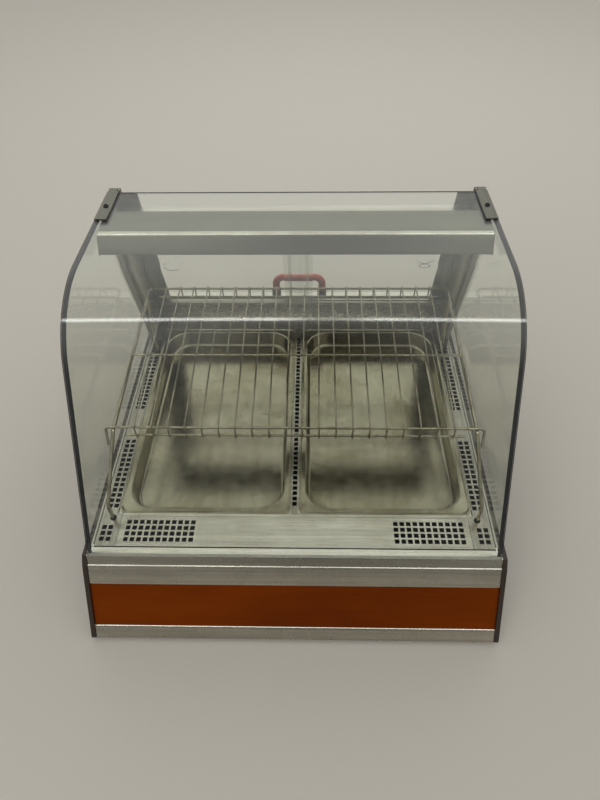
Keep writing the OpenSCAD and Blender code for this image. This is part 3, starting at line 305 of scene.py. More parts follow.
def round_loop(half_w, half_l, radius, steps=12):
    """Rounded rectangles: a quarter arc round each corner, anticlockwise, one loop for each row."""
    quarter = np.linspace(0, np.pi / 2, steps + 1)
    turn = (quarter[None] + np.arange(4)[:, None] * np.pi / 2).ravel()
    sx, sy = np.repeat([1, -1, -1, 1], steps + 1), np.repeat([1, 1, -1, -1], steps + 1)
    half_w, half_l, radius = (np.asarray(v, float)[:, None] for v in (half_w, half_l, radius))
    x = sx * (half_w - radius) + radius * np.cos(turn)
    y = sy * (half_l - radius) + radius * np.sin(turn)
    return np.stack([x, y], -1)


def upright_bar(half_width, low, high):
    """Corners of a rectangle about X = 0 between two heights, anticlockwise in (X, Z)."""
    return np.array([[-half_width, low], [half_width, low], [half_width, high], [-half_width, high]])


def raised(outline, y0, y1):
    """A closed anticlockwise (X, Z) outline carried along Y from y0 to y1."""
    x, z = outline[::-1].T
    return ringed(np.stack([np.column_stack([x, np.full(len(x), y), z]) for y in (y0, y1)]))


def screw_head(radius, height):
    """Profile of a dome with a socket in it: (radius, height, 1 in the socket), as shares of both sizes."""
    return np.array([
        (0.97, 0.0, 0), (1.0, 0.12, 0), (0.97, 0.42, 0), (0.86, 0.74, 0), (0.68, 0.94, 0), (0.50, 1.0, 0),
        (0.44, 0.98, 1), (0.42, 0.90, 1), (0.42, 0.25, 1), (0.05, 0.22, 1)]) * [radius, height, 1]


def socket_sides(turn):
    """Distance to the side of a hexagon in the direction of the turn: 1 / cos of the turn from the nearest
    side's middle."""
    return 1.0 / np.cos((turn + math.pi / 6) % (math.pi / 3) - math.pi / 6)


def knob_flutes(turn):
    """Twenty-four shallow scallops round the grip: 1 less a twentieth of |sin| of twelve times the turn."""
    return 1.0 - 0.05 * np.abs(np.sin(12 * turn))


def dress_faces(mesh, *directions, above=0.0):
    """Gives a mesh's second material to the faces above a height that look along one of the directions."""
    normal, centre = np.empty((2, len(mesh.polygons) * 3))
    mesh.polygons.foreach_get("normal", normal)
    mesh.polygons.foreach_get("center", centre)
    faces = (normal.reshape(-1, 3) @ np.transpose(directions) > LOOKS_ALONG).any(axis=1)
    faces &= centre[2::3] > above
    mesh.polygons.foreach_set("material_index", faces.astype(np.int32))


def piece(name, shape, finishes, body="case", replaces=(), sharp=35.0):
    """A mesh object at the origin, in the named finishes, that rides on a body and stands for the CAD nodes
    it replaces. Edges sharper than an angle in degrees stay hard."""
    points, faces = shape
    mesh = bpy.data.meshes.new(name)
    mesh.from_pydata(np.asarray(points).tolist(), [], faces)
    mesh.validate()
    mesh.shade_smooth()
    mesh.set_sharp_from_angle(angle=math.radians(sharp))
    for finish in finishes.split():
        mesh.materials.append(FINISHES[finish])
    thing = bpy.data.objects.new(name, mesh)
    bpy.context.scene.collection.objects.link(thing)
    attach(thing, body)
    if replaces:
        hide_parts(*replaces)
    return thing


# Lines of the case

def front_y(z):
    """The fascia and the front glass lie in one plane that slopes back from the lower front edge."""
    return TRIM_LOW.y + (z - TRIM_LOW.z) * math.tan(sizes().front_slope)


def lean_y(depth, z):
    """Y of the leaning rear frame at a depth behind its rear face and a height."""
    return REAR_FOOT + depth / math.cos(sizes().rear_lean) - (z - DECK) * math.tan(sizes().rear_lean)


def leaning(outline, low, high):
    """A closed (X, depth) outline carried up the lean of the rear frame between two heights."""
    x, depth = outline.T
    rings = [np.column_stack([x, lean_y(depth, z), np.full(len(x), z)]) for z in (low, high)]
    return ringed(np.stack(rings))


def glass_line(inset, low, back, steps=40):
    """Front glass line set in from its outer face: up the slope from low, round the bend, level to back."""
    s = sizes()
    top = GLASS_HIGH.z
    centre_z = top - s.glass_bend
    centre_y = front_y(centre_z) + s.glass_bend / math.cos(s.front_slope)
    turn = np.linspace(math.pi - s.front_slope, math.pi / 2, steps + 1)
    radius = s.glass_bend - inset
    bend = np.column_stack([centre_y + radius * np.cos(turn), centre_z + radius * np.sin(turn)])
    start = [[front_y(low) + inset / math.cos(s.front_slope), low]]
    return np.concatenate([start, bend, [[back, top - inset]]])


# Materials

def add(tree, kind, inputs=None, **settings):
    """Adds a node, sets its settings, and sets or links its inputs."""
    node = tree.nodes.new(kind)
    for key, value in settings.items():
        setattr(node, key, value)
    for key, value in (inputs or {}).items():
        if isinstance(value, bpy.types.NodeSocket):
            tree.links.new(value, node.inputs[key])
        else:
            node.inputs[key].default_value = value
    return node


def new_material(name, **sockets):
    """A material with one Principled shader; its constant sockets are set on it directly."""
    material = bpy.data.materials.new(name)
    material.use_nodes = True
    tree = material.node_tree
    tree.nodes.clear()
    shader = add(tree, "ShaderNodeBsdfPrincipled", {
        key.replace("_", " "): value for key, value in sockets.items()})
    add(tree, "ShaderNodeOutputMaterial", {"Surface": shader.outputs[0]})
    return material, tree, shader


def feed(tree, shader, **outputs):
    """Links outputs to the shader's sockets of those names."""
    for key, output in outputs.items():
        tree.links.new(output, shader.inputs[key.replace("_", " ")])


def per_metre(millimetres):
    """Scale of a pattern whose marks are that many millimetres wide."""
    return 1000.0 / millimetres


def shade(base, red, green, blue):
    """A colour with each channel scaled, and alpha 1."""
    return (*(min(c * k, 1.0) for c, k in zip(base[:3], (red, green, blue))), 1.0)


def brushed_stainless(name, tone, grain, rough, stain, stain_mm):
    """Stainless sheet, belt-brushed: fine lines along one axis that stretch reflections, cloudy stains and
    wipe marks. grain gives the scales of the lines along X, Y and Z in lines per metre; the real lines are
    about 0.1 mm wide, drawn here at about 0.7 mm, with uneven polishing bands about 7 mm wide, so that they
    show."""
    base = colours(tone)
    material, tree, shader = new_material(name, Metallic=1.0)
    place = add(tree, "ShaderNodeTexCoord").outputs["Object"]
    stretched = add(tree, "ShaderNodeMapping", {"Vector": place, "Scale": grain}).outputs[0]
    lines = add(tree, "ShaderNodeTexNoise", {
        "Vector": stretched, "Scale": 1.0, "Detail": 3.0, "Roughness": 0.6}).outputs[0]
    bands = add(tree, "ShaderNodeTexNoise", {
        "Vector": stretched, "Scale": 0.1, "Detail": 2.0, "Roughness": 0.6}).outputs[0]
    cloud = add(tree, "ShaderNodeTexNoise", {
        "Vector": place, "Scale": per_metre(stain_mm), "Detail": 5.0, "Roughness": 0.62,
        "Distortion": 0.4}).outputs[0]
    spots = add(tree, "ShaderNodeTexNoise", {
        "Vector": place, "Scale": per_metre(12.0), "Detail": 2.0}).outputs[0]
    stained = add(tree, "ShaderNodeMapRange", {
        "Value": cloud, "From Min": 0.35, "From Max": 0.75, "To Min": 0.0, "To Max": stain}).outputs[0]
    uneven = add(tree, "ShaderNodeMix", {0: 0.5, 2: lines, 3: bands}).outputs[0]
    bright = add(tree, "ShaderNodeMapRange", {
        "Value": uneven, "From Min": 0.35, "From Max": 0.65, "To Min": 0.76, "To Max": 1.14}).outputs[0]
    toned = add(tree, "ShaderNodeMix", {
        0: stained, 6: base, 7: shade(base, 0.62, 0.58, 0.50)}, data_type="RGBA").outputs[2]
    lined = add(tree, "ShaderNodeVectorMath", {0: toned, "Scale": bright}, operation="SCALE").outputs[0]
    mixed = add(tree, "ShaderNodeMath", {
        0: cloud, 1: 0.16, 2: rough - 0.08}, operation="MULTIPLY_ADD").outputs[0]
    gloss = add(tree, "ShaderNodeMath", {
        0: spots, 1: 0.06, 2: mixed}, operation="MULTIPLY_ADD").outputs[0]
    bump = add(tree, "ShaderNodeBump", {"Height": lines, "Strength": 0.04, "Distance": 0.0003}).outputs[0]
    feed(tree, shader, Base_Color=lined, Roughness=gloss, Normal=bump)
    return material


def used_pan_steel():
    """Deep-drawn stainless after years of use: half bright, with brown heat and water stains in clouds
    about 130 mm wide, finer changes of gloss about 18 mm wide, and hair scratches at a slant."""
    base = colours("pan")
    material, tree, shader = new_material("used_pan_stainless", Metallic=1.0)
    place = add(tree, "ShaderNodeTexCoord").outputs["Object"]
    cloud = add(tree, "ShaderNodeTexNoise", {
        "Vector": place, "Scale": per_metre(130.0), "Detail": 6.0, "Roughness": 0.65,
        "Distortion": 0.8}).outputs[0]
    fine = add(tree, "ShaderNodeTexNoise", {
        "Vector": place, "Scale": per_metre(18.0), "Detail": 4.0}).outputs[0]
    turned = add(tree, "ShaderNodeMapping", {
        "Vector": place, "Rotation": (0.0, 0.0, 0.6), "Scale": (900.0, 25.0, 300.0)}).outputs[0]
    scratch = add(tree, "ShaderNodeTexNoise", {"Vector": turned, "Scale": 1.0, "Detail": 2.0}).outputs[0]
    stained = add(tree, "ShaderNodeMapRange", {
        "Value": cloud, "From Min": 0.38, "From Max": 0.72, "To Min": 0.05, "To Max": 0.85}).outputs[0]
    toned = add(tree, "ShaderNodeMix", {
        0: stained, 6: base, 7: shade(base, 0.58, 0.54, 0.42)}, data_type="RGBA").outputs[2]
    streak = add(tree, "ShaderNodeMapRange", {
        "Value": scratch, "From Min": 0.6, "From Max": 0.75, "To Min": 1.0, "To Max": 1.18}).outputs[0]
    marked = add(tree, "ShaderNodeVectorMath", {0: toned, "Scale": streak}, operation="SCALE").outputs[0]
    rough = add(tree, "ShaderNodeMapRange", {"Value": fine, "To Min": 0.10, "To Max": 0.24}).outputs[0]
    bump = add(tree, "ShaderNodeBump", {"Height": fine, "Strength": 0.06, "Distance": 0.001}).outputs[0]
    feed(tree, shader, Base_Color=marked, Roughness=rough, Normal=bump)
    return material


def dulled_chrome():
    """Chromed wire, dulled by heat and washing: bright along the light and dark beside it, with brown
    tarnish in patches 20 mm long."""
    base = colours("wire")
    material, tree, shader = new_material("dulled_chrome_wire", Metallic=1.0)
    place = add(tree, "ShaderNodeTexCoord").outputs["Object"]
    cloud = add(tree, "ShaderNodeTexNoise", {
        "Vector": place, "Scale": per_metre(20.0), "Detail": 4.0}).outputs[0]
    fade = add(tree, "ShaderNodeMapRange", {
        "Value": cloud, "From Min": 0.4, "From Max": 0.7, "To Max": 0.7}).outputs[0]
    toned = add(tree, "ShaderNodeMix", {
        0: fade, 6: base, 7: shade(base, 0.5, 0.45, 0.36)}, data_type="RGBA").outputs[2]
    rough = add(tree, "ShaderNodeMapRange", {"Value": cloud, "To Min": 0.06, "To Max": 0.22}).outputs[0]
    feed(tree, shader, Base_Color=toned, Roughness=rough)
    return material


def stained_veneer():
    """Wood veneer, stained orange-brown and lacquered: close straight grain along X about 3 mm apart, slow
    changes of depth about 110 mm wide and three times as long, and a thin film, nearly matt."""
    base = colours("wood")
    material, tree, shader = new_material(
        "stained_lacquered_veneer", Coat_Weight=0.02, Coat_Roughness=0.35, Specular_IOR_Level=0.05)
    place = add(tree, "ShaderNodeTexCoord").outputs["Object"]
    along = add(tree, "ShaderNodeMapping", {"Vector": place, "Scale": (6.0, 330.0, 330.0)}).outputs[0]
    grain = add(tree, "ShaderNodeTexNoise", {
        "Vector": along, "Scale": 1.0, "Detail": 4.0, "Distortion": 0.6}).outputs[0]
    broad = add(tree, "ShaderNodeMapping", {"Vector": place, "Scale": (3.0, 9.0, 9.0)}).outputs[0]
    depth = add(tree, "ShaderNodeTexNoise", {"Vector": broad, "Scale": 1.0, "Detail": 3.0}).outputs[0]
    fine = add(tree, "ShaderNodeMath", {0: grain, 1: 0.35}, operation="MULTIPLY").outputs[0]
    mixed = add(tree, "ShaderNodeMath", {0: depth, 1: 0.8, 2: fine}, operation="MULTIPLY_ADD").outputs[0]
    fade = add(tree, "ShaderNodeMapRange", {
        "Value": mixed, "From Min": 0.35, "From Max": 0.8}).outputs[0]
    toned = add(tree, "ShaderNodeMix", {
        0: fade, 6: shade(base, 1.3, 1.3, 1.3), 7: shade(base, 0.74, 0.66, 0.6)},
        data_type="RGBA").outputs[2]
    rough = add(tree, "ShaderNodeMapRange", {"Value": grain, "To Min": 0.44, "To Max": 0.56}).outputs[0]
    feed(tree, shader, Base_Color=toned, Roughness=rough)
    return material


def moulded(name, tone, rough, grit_mm, wear, **sockets):
    """Moulded plastic, rubber or laminate: an even colour, a fine grit in the surface, and faint scuffs
    about 35 mm wide that are paler and change the gloss."""
    base = colours(tone)
    material, tree, shader = new_material(name, **sockets)
    place = add(tree, "ShaderNodeTexCoord").outputs["Object"]
    grit = add(tree, "ShaderNodeTexNoise", {
        "Vector": place, "Scale": per_metre(grit_mm), "Detail": 2.0}).outputs[0]
    scuff = add(tree, "ShaderNodeTexNoise", {
        "Vector": place, "Scale": per_metre(35.0), "Detail": 6.0, "Roughness": 0.7}).outputs[0]
    worn = add(tree, "ShaderNodeMapRange", {
        "Value": scuff, "From Min": 0.5, "From Max": 0.8, "To Max": wear}).outputs[0]
    pale = shade([c + 0.0125 for c in base[:3]], 1.6, 1.6, 1.6)
    toned = add(tree, "ShaderNodeMix", {0: worn, 6: base, 7: pale}, data_type="RGBA").outputs[2]
    gloss = add(tree, "ShaderNodeMath", {
        0: scuff, 1: 0.2, 2: rough - 0.1}, operation="MULTIPLY_ADD").outputs[0]
    bump = add(tree, "ShaderNodeBump", {"Height": grit, "Strength": 0.08, "Distance": 0.0004}).outputs[0]
    feed(tree, shader, Base_Color=toned, Roughness=gloss, Normal=bump)
    return material


def float_glass():
    """Toughened float glass: clear, with a trace of green from its iron and a slight haze of grease."""
    material, tree, shader = new_material(
        "clear_float_glass", Base_Color=colours("glass"), IOR=1.5, Transmission_Weight=1.0)
    place = add(tree, "ShaderNodeTexCoord").outputs["Object"]
    wipe = add(tree, "ShaderNodeMapping", {
        "Vector": place, "Rotation": (0.3, 0.5, 0.8), "Scale": (4.0, 16.0, 9.0)}).outputs[0]
    haze = add(tree, "ShaderNodeTexNoise", {"Vector": wipe, "Scale": 1.0, "Detail": 5.0}).outputs[0]
    film = add(tree, "ShaderNodeMapRange", {
        "Value": haze, "From Min": 0.55, "From Max": 0.85, "To Min": 0.0, "To Max": 0.04}).outputs[0]
    feed(tree, shader, Roughness=film)
    return material


FINISHES = {}


def make_finishes():
    """Every finish of the case. A row of brushed sheet gives the name, the colour, the lines per metre
    along each axis, the roughness, and the depth of the stains and their size in millimetres. A row of
    moulded stuff gives the name, the colour, the roughness, the grit in millimetres and the depth of the
    wear."""
    along_x, along_y, along_z = (14.0, 1400.0, 1400.0), (1400.0, 14.0, 1400.0), (1400.0, 1400.0, 14.0)
    even = (300.0, 300.0, 300.0)
    for key, *row in (
            ("fascia", "brushed_stainless_fascia", "steel", along_x, 0.24, 0.35, 90.0),
            ("deck", "brushed_stainless_deck", "deck", along_x, 0.20, 0.5, 60.0),
            # The ledge row is a paler copy of the steel, painted light for faces that look up.
            ("ledge", "stainless_ledge_painted_highlight", "ledge", along_x, 0.20, 0.3, 60.0),
            # The strip row is the deck's stainless darkened with a painted reflection of the canopy.
            ("strip", "stainless_strip_painted_reflection", "strip", along_y, 0.20, 0.5, 60.0),
            ("plate", "dull_steel_plate", "plate", along_y, 0.32, 0.4, 90.0),
            ("canopy", "brushed_stainless_canopy", "canopy", along_x, 0.20, 0.25, 90.0),
            ("post", "brushed_stainless_post", "post", along_z, 0.16, 0.6, 90.0),
            ("plain", "plain_stainless", "post", even, 0.40, 0.4, 90.0),
            # The inner row is heat-darkened steel with painted shade, dark enough that the air holes read
            # black.
            ("inner", "smoked_steel_painted_shade", "smoke_and_shade", even, 0.50, 0.6, 90.0),
            ("rail", "satin_aluminium_rail", "aluminium", along_y, 0.36, 0.2, 90.0),
            ("track", "satin_aluminium_track", "aluminium", along_x, 0.36, 0.2, 90.0)):
        FINISHES[key] = brushed_stainless(*row)
    for key, *row in (
            ("channel", "cream_glazing_channel", "channel", 0.36, 1.5, 0.2),
            ("laminate", "dark_laminate", "laminate", 0.38, 0.8, 0.3),
            ("glass_edge", "ground_glass_edge", "glass_edge", 0.22, 0.5, 0.1),
            ("door_edge", "polished_glass_edge", "door_edge", 0.20, 0.5, 0.1),
            ("silicone", "clear_silicone", "silicone", 0.40, 2.0, 0.0),
            ("rubber", "black_rubber", "rubber", 0.55, 0.9, 0.3),
            ("plastic", "black_nylon", "rubber", 0.42, 1.0, 0.2),
            ("handle", "red_nylon", "handle", 0.32, 1.0, 0.2),
            ("rocker_red", "red_rocker_plastic", "rocker_on", 0.25, 1.0, 0.1),
            ("rocker_green", "green_rocker_plastic", "rocker_light", 0.25, 1.0, 0.1),
            ("amber", "amber_lens", "amber", 0.18, 2.0, 0.1),
            ("ivory", "ivory_ceramic", "ceramic", 0.45, 0.8, 0.1),
            # The reflector's colour is white enamel darkened with painted shade.
            ("shaded_enamel", "enamel_painted_shade", "shaded_enamel", 0.30, 3.0, 0.1),
            ("lamp", "frosted_lamp_glass", "lamp", 0.35, 2.0, 0.05),
            ("mark", "white_marking", "mark", 0.5, 1.0, 0.1)):
        FINISHES[key] = moulded(*row)
    FINISHES["sheath"] = moulded("oxidised_heater_sheath", "sheath", 0.5, 0.6, 0.3, Metallic=0.8)
    FINISHES.update(
        pan=used_pan_steel(), wire=dulled_chrome(), wood=stained_veneer(), glass=float_glass())


# One operator for each piece or group of like pieces

class CaseFinishes(bpy.types.Operator):
    """Make the finishes and put them on the CAD pieces that show as they are"""
    bl_idname = "display_case.finishes"
    bl_label = "Finishes"

    def execute(self, context):
        make_finishes()
        wanted = dict(
            deck="pan_cross_rail rear_deck_strip front_deck_panel",
            strip="left_deck_strip right_deck_strip centre_divider",
            plate="hinge_plates hinge_brackets",
            fascia="front_nosing lower_front_trim rear_base_panel rear_ledge rear_sill panel_screws",
            plain="hinge_pins thermostat_shaft",
            inner="base_floor heater_brackets heat_tray",
            canopy="canopy_shell canopy_end_caps",
            post="left_post right_post",
            rail="left_glass_rail right_glass_rail",
            track="upper_door_track lower_door_track",
            pan="left_pan right_pan",
            wire="rack_frame rack_shelf",
            wood="front_wood_panel",
            laminate="left_end_panel right_end_panel",
            glass="front_glass left_side_glass right_side_glass left_door right_door",
            silicone="glass_rest_strip",
            rubber="feet left_glass_seal right_glass_seal rack_grommets",
            plastic="thermostat thermostat_knob switch_housings cable_gland handle_bosses plate_screws",
            handle="rear_handle",
            rocker_red="heat_rocker",
            rocker_green="light_rocker",
            amber="pilot_lamp",
            ivory="lamp_holders terminal_block",
            shaded_enamel="lamp_reflector",
            lamp="lamp_tube",
            sheath="heaters",
        )
        finish_of = {node: name for name, nodes in wanted.items() for node in nodes.split()}
        for node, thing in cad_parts.items():
            thing.data.materials.clear()
            thing.data.materials.append(FINISHES[finish_of[node]])
        for door in ("left_door", "right_door"):
            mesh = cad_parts[door].data
            mesh.materials.append(FINISHES["door_edge"])
            dress_faces(mesh, *ENDS)
        return {"FINISHED"}


class CaseFascia(bpy.types.Operator):
    """Folded steel of the fascia: the nosing with its ledge, the lower trim and the rear ledge"""
    bl_idname = "display_case.fascia"
    bl_label = "Folded Fascia"

    def execute(self, context):
        s = sizes()
        inward = np.array([math.cos(s.front_slope), -math.sin(s.front_slope)])
        riser = s.riser_in / math.cos(s.front_slope)
        nose_z = DECK - s.nose_drop
        step_z = nose_z + s.nose_step
        panel_y = front_y(DECK) + s.ledge_depth
        band_foot = np.array([front_y(nose_z - s.band), nose_z - s.band])
        nosing = [
            [panel_y, DECK - s.ledge_lip], [panel_y, DECK], [front_y(DECK) + riser, DECK],
            [front_y(step_z) + riser, step_z], [front_y(nose_z), nose_z], band_foot,
            band_foot + s.fold_back * inward]
        radii = [s.fold / 2, s.fold, s.fold, s.fold, s.fold]
        trim_top = np.array([front_y(TRIM_HIGH.z), TRIM_HIGH.z])
        trim = [
            trim_top + s.fold_back * inward, trim_top, [TRIM_LOW.y, TRIM_LOW.z], [TRIM_HIGH.y, TRIM_LOW.z]]
        ledge = [
            [BACK_PANEL, LEDGE_LOW.z], [LEDGE_HIGH.y, LEDGE_LOW.z], [LEDGE_HIGH.y, LEDGE_HIGH.z],
            [LEDGE_LOW.y, LEDGE_HIGH.z]]
        for name, path, bends, node, top in (
                ("nosing_sheet", nosing, radii, "front_nosing", DECK - s.ledge_lip),
                ("lower_trim_sheet", trim, s.fold, "lower_front_trim", TRIM_LOW.z),
                ("rear_ledge_sheet", ledge, s.fold, "rear_ledge", LEDGE_LOW.z)):
            shape = prism(sheet_outline(path, s.sheet, bends), -NOSING_END, NOSING_END)
            sheet = piece(name, shape, "fascia ledge", replaces=[node])
            # Faces that look up get the paler ledge finish: painted light on the tops of the folds.
            dress_faces(sheet.data, UP, above=top)
        return {"FINISHED"}


class CaseGlass(bpy.types.Operator):
    """Bent front glass: one sheet up the slope, round the bend and back along the top, with ground edges"""
    bl_idname = "display_case.glass"
    bl_label = "Front Glass"

    def execute(self, context):
        s = sizes()
        half = GLASS_HIGH.x - s.pane_in
        outer = glass_line(0.0, GLASS_LOW.z, GLASS_HIGH.y)
        inner = glass_line(s.glass_thickness, GLASS_LOW.z, GLASS_HIGH.y)
        shape = prism(np.concatenate([outer, inner[::-1]]), -half, half)
        finishes = "glass glass_edge silicone"
        pane = piece("front_pane", shape, finishes, "front_glass", ["front_glass"], sharp=30.0)
        dress_faces(pane.data, *ENDS, BACK)
        foot = min(pane.data.polygons, key=lambda face: face.center.z)
        foot.material_index = finishes.split().index("silicone")
        return {"FINISHED"}


class CaseSeals(bpy.types.Operator):
    """Black rim strips on the side glasses and the cream channels that hold their rear edges"""
    bl_idname = "display_case.seals"
    bl_label = "Glass Seals"

    def execute(self, context):
        s = sizes()
        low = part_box("glass_rest_strip")[1].z
        back, front = -s.post_depth, -s.post_depth - s.channel_back - s.channel_wrap
        floor = -s.post_depth - s.channel_back
        near = s.glass_thickness + s.seal_gap
        far = near + s.seal_rim
        end = lean_y(floor, GLASS_HIGH.z - far)
        rim = np.concatenate([glass_line(near, low, end), glass_line(far, low, end)[::-1]])
        x0, x1, wall = SEAL_LOW.x, SEAL_HIGH.x, s.channel_wall
        channel = np.array([
            [x0, front], [x0 + wall, front], [x0 + wall, floor], [x1 - wall, floor],
            [x1 - wall, front], [x1, front], [x1, back], [x0, back]])
        for side, name in ((-1, "left"), (1, "right")):
            span = sorted((side * (x0 + s.seal_side), side * (x1 - s.seal_out)))
            piece(f"{name}_rim_seal", prism(rim, *span), "rubber", replaces=[f"{name}_glass_seal"])
            bar = leaning((channel * [side, 1])[::side], DECK, SEAL_HIGH.z - s.channel_gap)
            piece(f"{name}_glass_channel", bar, "channel")
        return {"FINISHED"}


class CasePans(bpy.types.Operator):
    """Two pressed pans: nested rounded rectangles from the raised edge over the rim to the floor"""
    bl_idname = "display_case.pans"
    bl_label = "Food Pans"

    def execute(self, context):
        gauge = 0.8 * MM
        half_w, half_l = (PAN_HIGH.x - PAN_LOW.x) / 2, (PAN_HIGH.y - PAN_LOW.y) / 2
        centre = np.array([(PAN_LOW.x + PAN_HIGH.x) / 2, (PAN_LOW.y + PAN_HIGH.y) / 2])
        section = rounded(
            [(0, -2.6), (0, 0.5), (2, 0.5), (4, -0.75), (13, -0.8), (16.8, -39.2), (40, -39.2)],
            [0.7, 1.0, 1.5, 2.0, 7.0], 6)
        inset, height = section.T * MM
        corner = np.interp(section[:, 0], [0, 3, 13, 17, 40], [12, 14, 52, 50, 32]) * MM
        loop = round_loop(half_w - inset, half_l - inset, corner)
        level = np.broadcast_to((PAN_HIGH.z + height)[:, None, None], loop.shape[:2] + (1,))
        rows, columns = loop.shape[:2]
        floor = (np.arange(columns) + (rows - 1) * columns).tolist()
        for side, name in ((-1, "left"), (1, "right")):
            points = np.concatenate([loop + centre * [side, 1], level], -1)
            shape = points.reshape(-1, 3), grid_faces(rows, columns, True) + [floor]
            pan = piece(f"{name}_pressed_pan", shape, "pan", f"{name}_pan", [f"{name}_pan"], sharp=50.0)
            solid = pan.modifiers.new("gauge", "SOLIDIFY")
            solid.thickness = gauge
            solid.offset = -1.0
        return {"FINISHED"}


class CaseCanopy(bpy.types.Operator):
    """Lamp canopy: one folded sheet with a round front edge that wears the paler deck finish as a painted
    highlight
    """
    bl_idname = "display_case.canopy"
    bl_label = "Canopy"

    def execute(self, context):
        s = sizes()
        low, top = CANOPY_LOW.z, CANOPY_HIGH.z
        front, back = CANOPY_LOW.y, CANOPY_HIGH.y
        rise = top - low
        path = [
            [front + s.canopy_lip, low], [front, low], [front + rise * math.tan(s.front_slope), top],
            [back - rise * math.tan(s.rear_lean), top], [back, low], [back - s.canopy_lip, low]]
        outline = sheet_outline(path, -s.sheet, [s.fold, s.canopy_edge, s.fold, s.fold])
        shape = prism(outline, CANOPY_LOW.x, CANOPY_HIGH.x)
        sheet = piece("canopy_sheet", shape, "canopy deck", replaces=["canopy_shell"])
        # The faces of the round front edge get the paler deck finish: a painted highlight line.
        dress_faces(sheet.data, HIGHLIGHT_FACING)
        return {"FINISHED"}


class CaseRack(bpy.types.Operator):
    """Wire rack: two bent side frames, four rails, a middle wire and long wires hooked over the rails"""
    bl_idname = "display_case.rack"
    bl_label = "Wire Rack"

    def execute(self, context):
        s = sizes()
        rod_x = PAN_HIGH.x + s.rack_side
        frame_bends = np.array([16, 14, 12, 16]) * MM
        front_bend, back_bend, back_turn, overlap = np.array([6, 12, 60, 2]) * MM
        joint_share = 0.2
        cos, sin = math.cos(s.rack_tilt), math.sin(s.rack_tilt)
        foot_y = PAN_LOW.y - s.rack_foot
        back_y, sink = foot_y + s.rack_span, DECK - s.rack_sink
        rail = np.array([foot_y + s.rail_back, DECK + s.rail_height])

        def shelf(points):
            """Points given as (x, along the shelf, above it), tilted into place."""
            points = np.asarray(points, float)
            return np.column_stack([points[:, 0], rail + points[:, 1:] @ [[cos, sin], [-sin, cos]]])

        up = np.array([0, -sin, cos])
        drop = (s.rail_rod + s.frame_rod) / 2 + 3 * s.weld
        knee = np.array([foot_y, DECK + s.rack_knee])
        front_end = shelf([[0, -overlap, -drop]])[0, 1:]
        back_end = np.array([back_y, front_end[1] + (back_y - front_end[0]) * sin / cos])
        side_x = rod_x - s.rack_lean
        corners = [
            [rod_x, foot_y, sink], [rod_x, *knee], [side_x, *front_end], [side_x, *back_end],
            [rod_x, back_y, DECK + s.rack_heel], [rod_x, back_y, sink]]
        side = rounded(corners, frame_bends)
        bars = [tube(side * [k, 1, 1], s.frame_rod / 2, RIGHT) for k in (-1, 1)]
        piece("rack_side_frames", joined(bars), "wire", "rack", ["rack_frame"], sharp=60.0)

        # The front rail's ends turn in and down, and meet the leaning legs a fifth of the way down
        joint = front_end + joint_share * (knee - front_end)
        joint_x = side_x + joint_share * s.rack_lean + (s.frame_rod + s.rail_rod) / 2 + 2 * s.weld
        rail_x = joint_x + s.rail_end
        front_rail = rounded(
            [[-joint_x, *joint], [-rail_x, *rail], [rail_x, *rail], [joint_x, *joint]], front_bend)
        square = np.cross(RIGHT, [0, *(joint - rail)])
        depth, turn = s.shelf_depth, s.shelf_depth - back_turn
        back_rail = rounded(
            [[-side_x, turn, 0], [-side_x, depth, 0], [side_x, depth, 0], [side_x, turn, 0]], back_bend)
        off = (s.rail_rod + s.wire_rod) / 2 + s.weld
        middle = off - (s.wire_rod + s.middle_rod) / 2 - s.weld
        middle_wire = [[-side_x, s.middle_wire, middle], [side_x, s.middle_wire, middle]]
        parts = [
            tube(front_rail, s.rail_rod / 2, square / np.linalg.norm(square)),
            tube(shelf(back_rail), s.rail_rod / 2, up),
            tube(shelf(middle_wire), s.middle_rod / 2, up)]
        half = s.wire_span / 2 + s.lower_over
        parts += [
            tube(shelf([[-half, y, -s.lower_drop], [half, y, -s.lower_drop]]), s.rail_rod / 2, up)
            for y in (0, depth)]
        end = -s.lower_drop - overlap
        hook = rounded([[-off, end], [-off, off], [depth + off, off], [depth + off, end]], off)
        parts += [
            tube(shelf(np.column_stack([np.full(len(hook), x), hook])), s.wire_rod / 2, RIGHT, 10)
            for x in np.linspace(-s.wire_span / 2, s.wire_span / 2, s.wires)]
        piece("rack_wire_shelf", joined(parts), "wire", "rack", ["rack_shelf"], sharp=60.0)
        return {"FINISHED"}


class CaseDoors(bpy.types.Operator):
    """Clear half-round grip strips on the front of each sliding door, near its upright edges: an arc of
    half a turn across the strip, carried up the lean of the rear frame"""
    bl_idname = "display_case.doors"
    bl_label = "Door Strips"

    def execute(self, context):
        s = sizes()
        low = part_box("lower_door_track")[1].z + s.grip_gap
        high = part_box("upper_door_track")[0].z - s.grip_gap
        half_turn = np.linspace(0, math.pi, 13)
        for door, face in (("left_door", s.left_door_face), ("right_door", s.right_door_face)):
            arc = np.column_stack([
                -np.cos(half_turn) * s.grip_width / 2, face - np.sin(half_turn) * s.grip_thickness])
            left, right = (corner.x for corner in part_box(door))
            inset = s.grip_in + s.grip_width / 2
            bars = [leaning(arc + [x, 0], low, high) for x in (left + inset, right - inset)]
            piece(f"{door}_grip_strips", joined(bars), "glass", door)
        return {"FINISHED"}


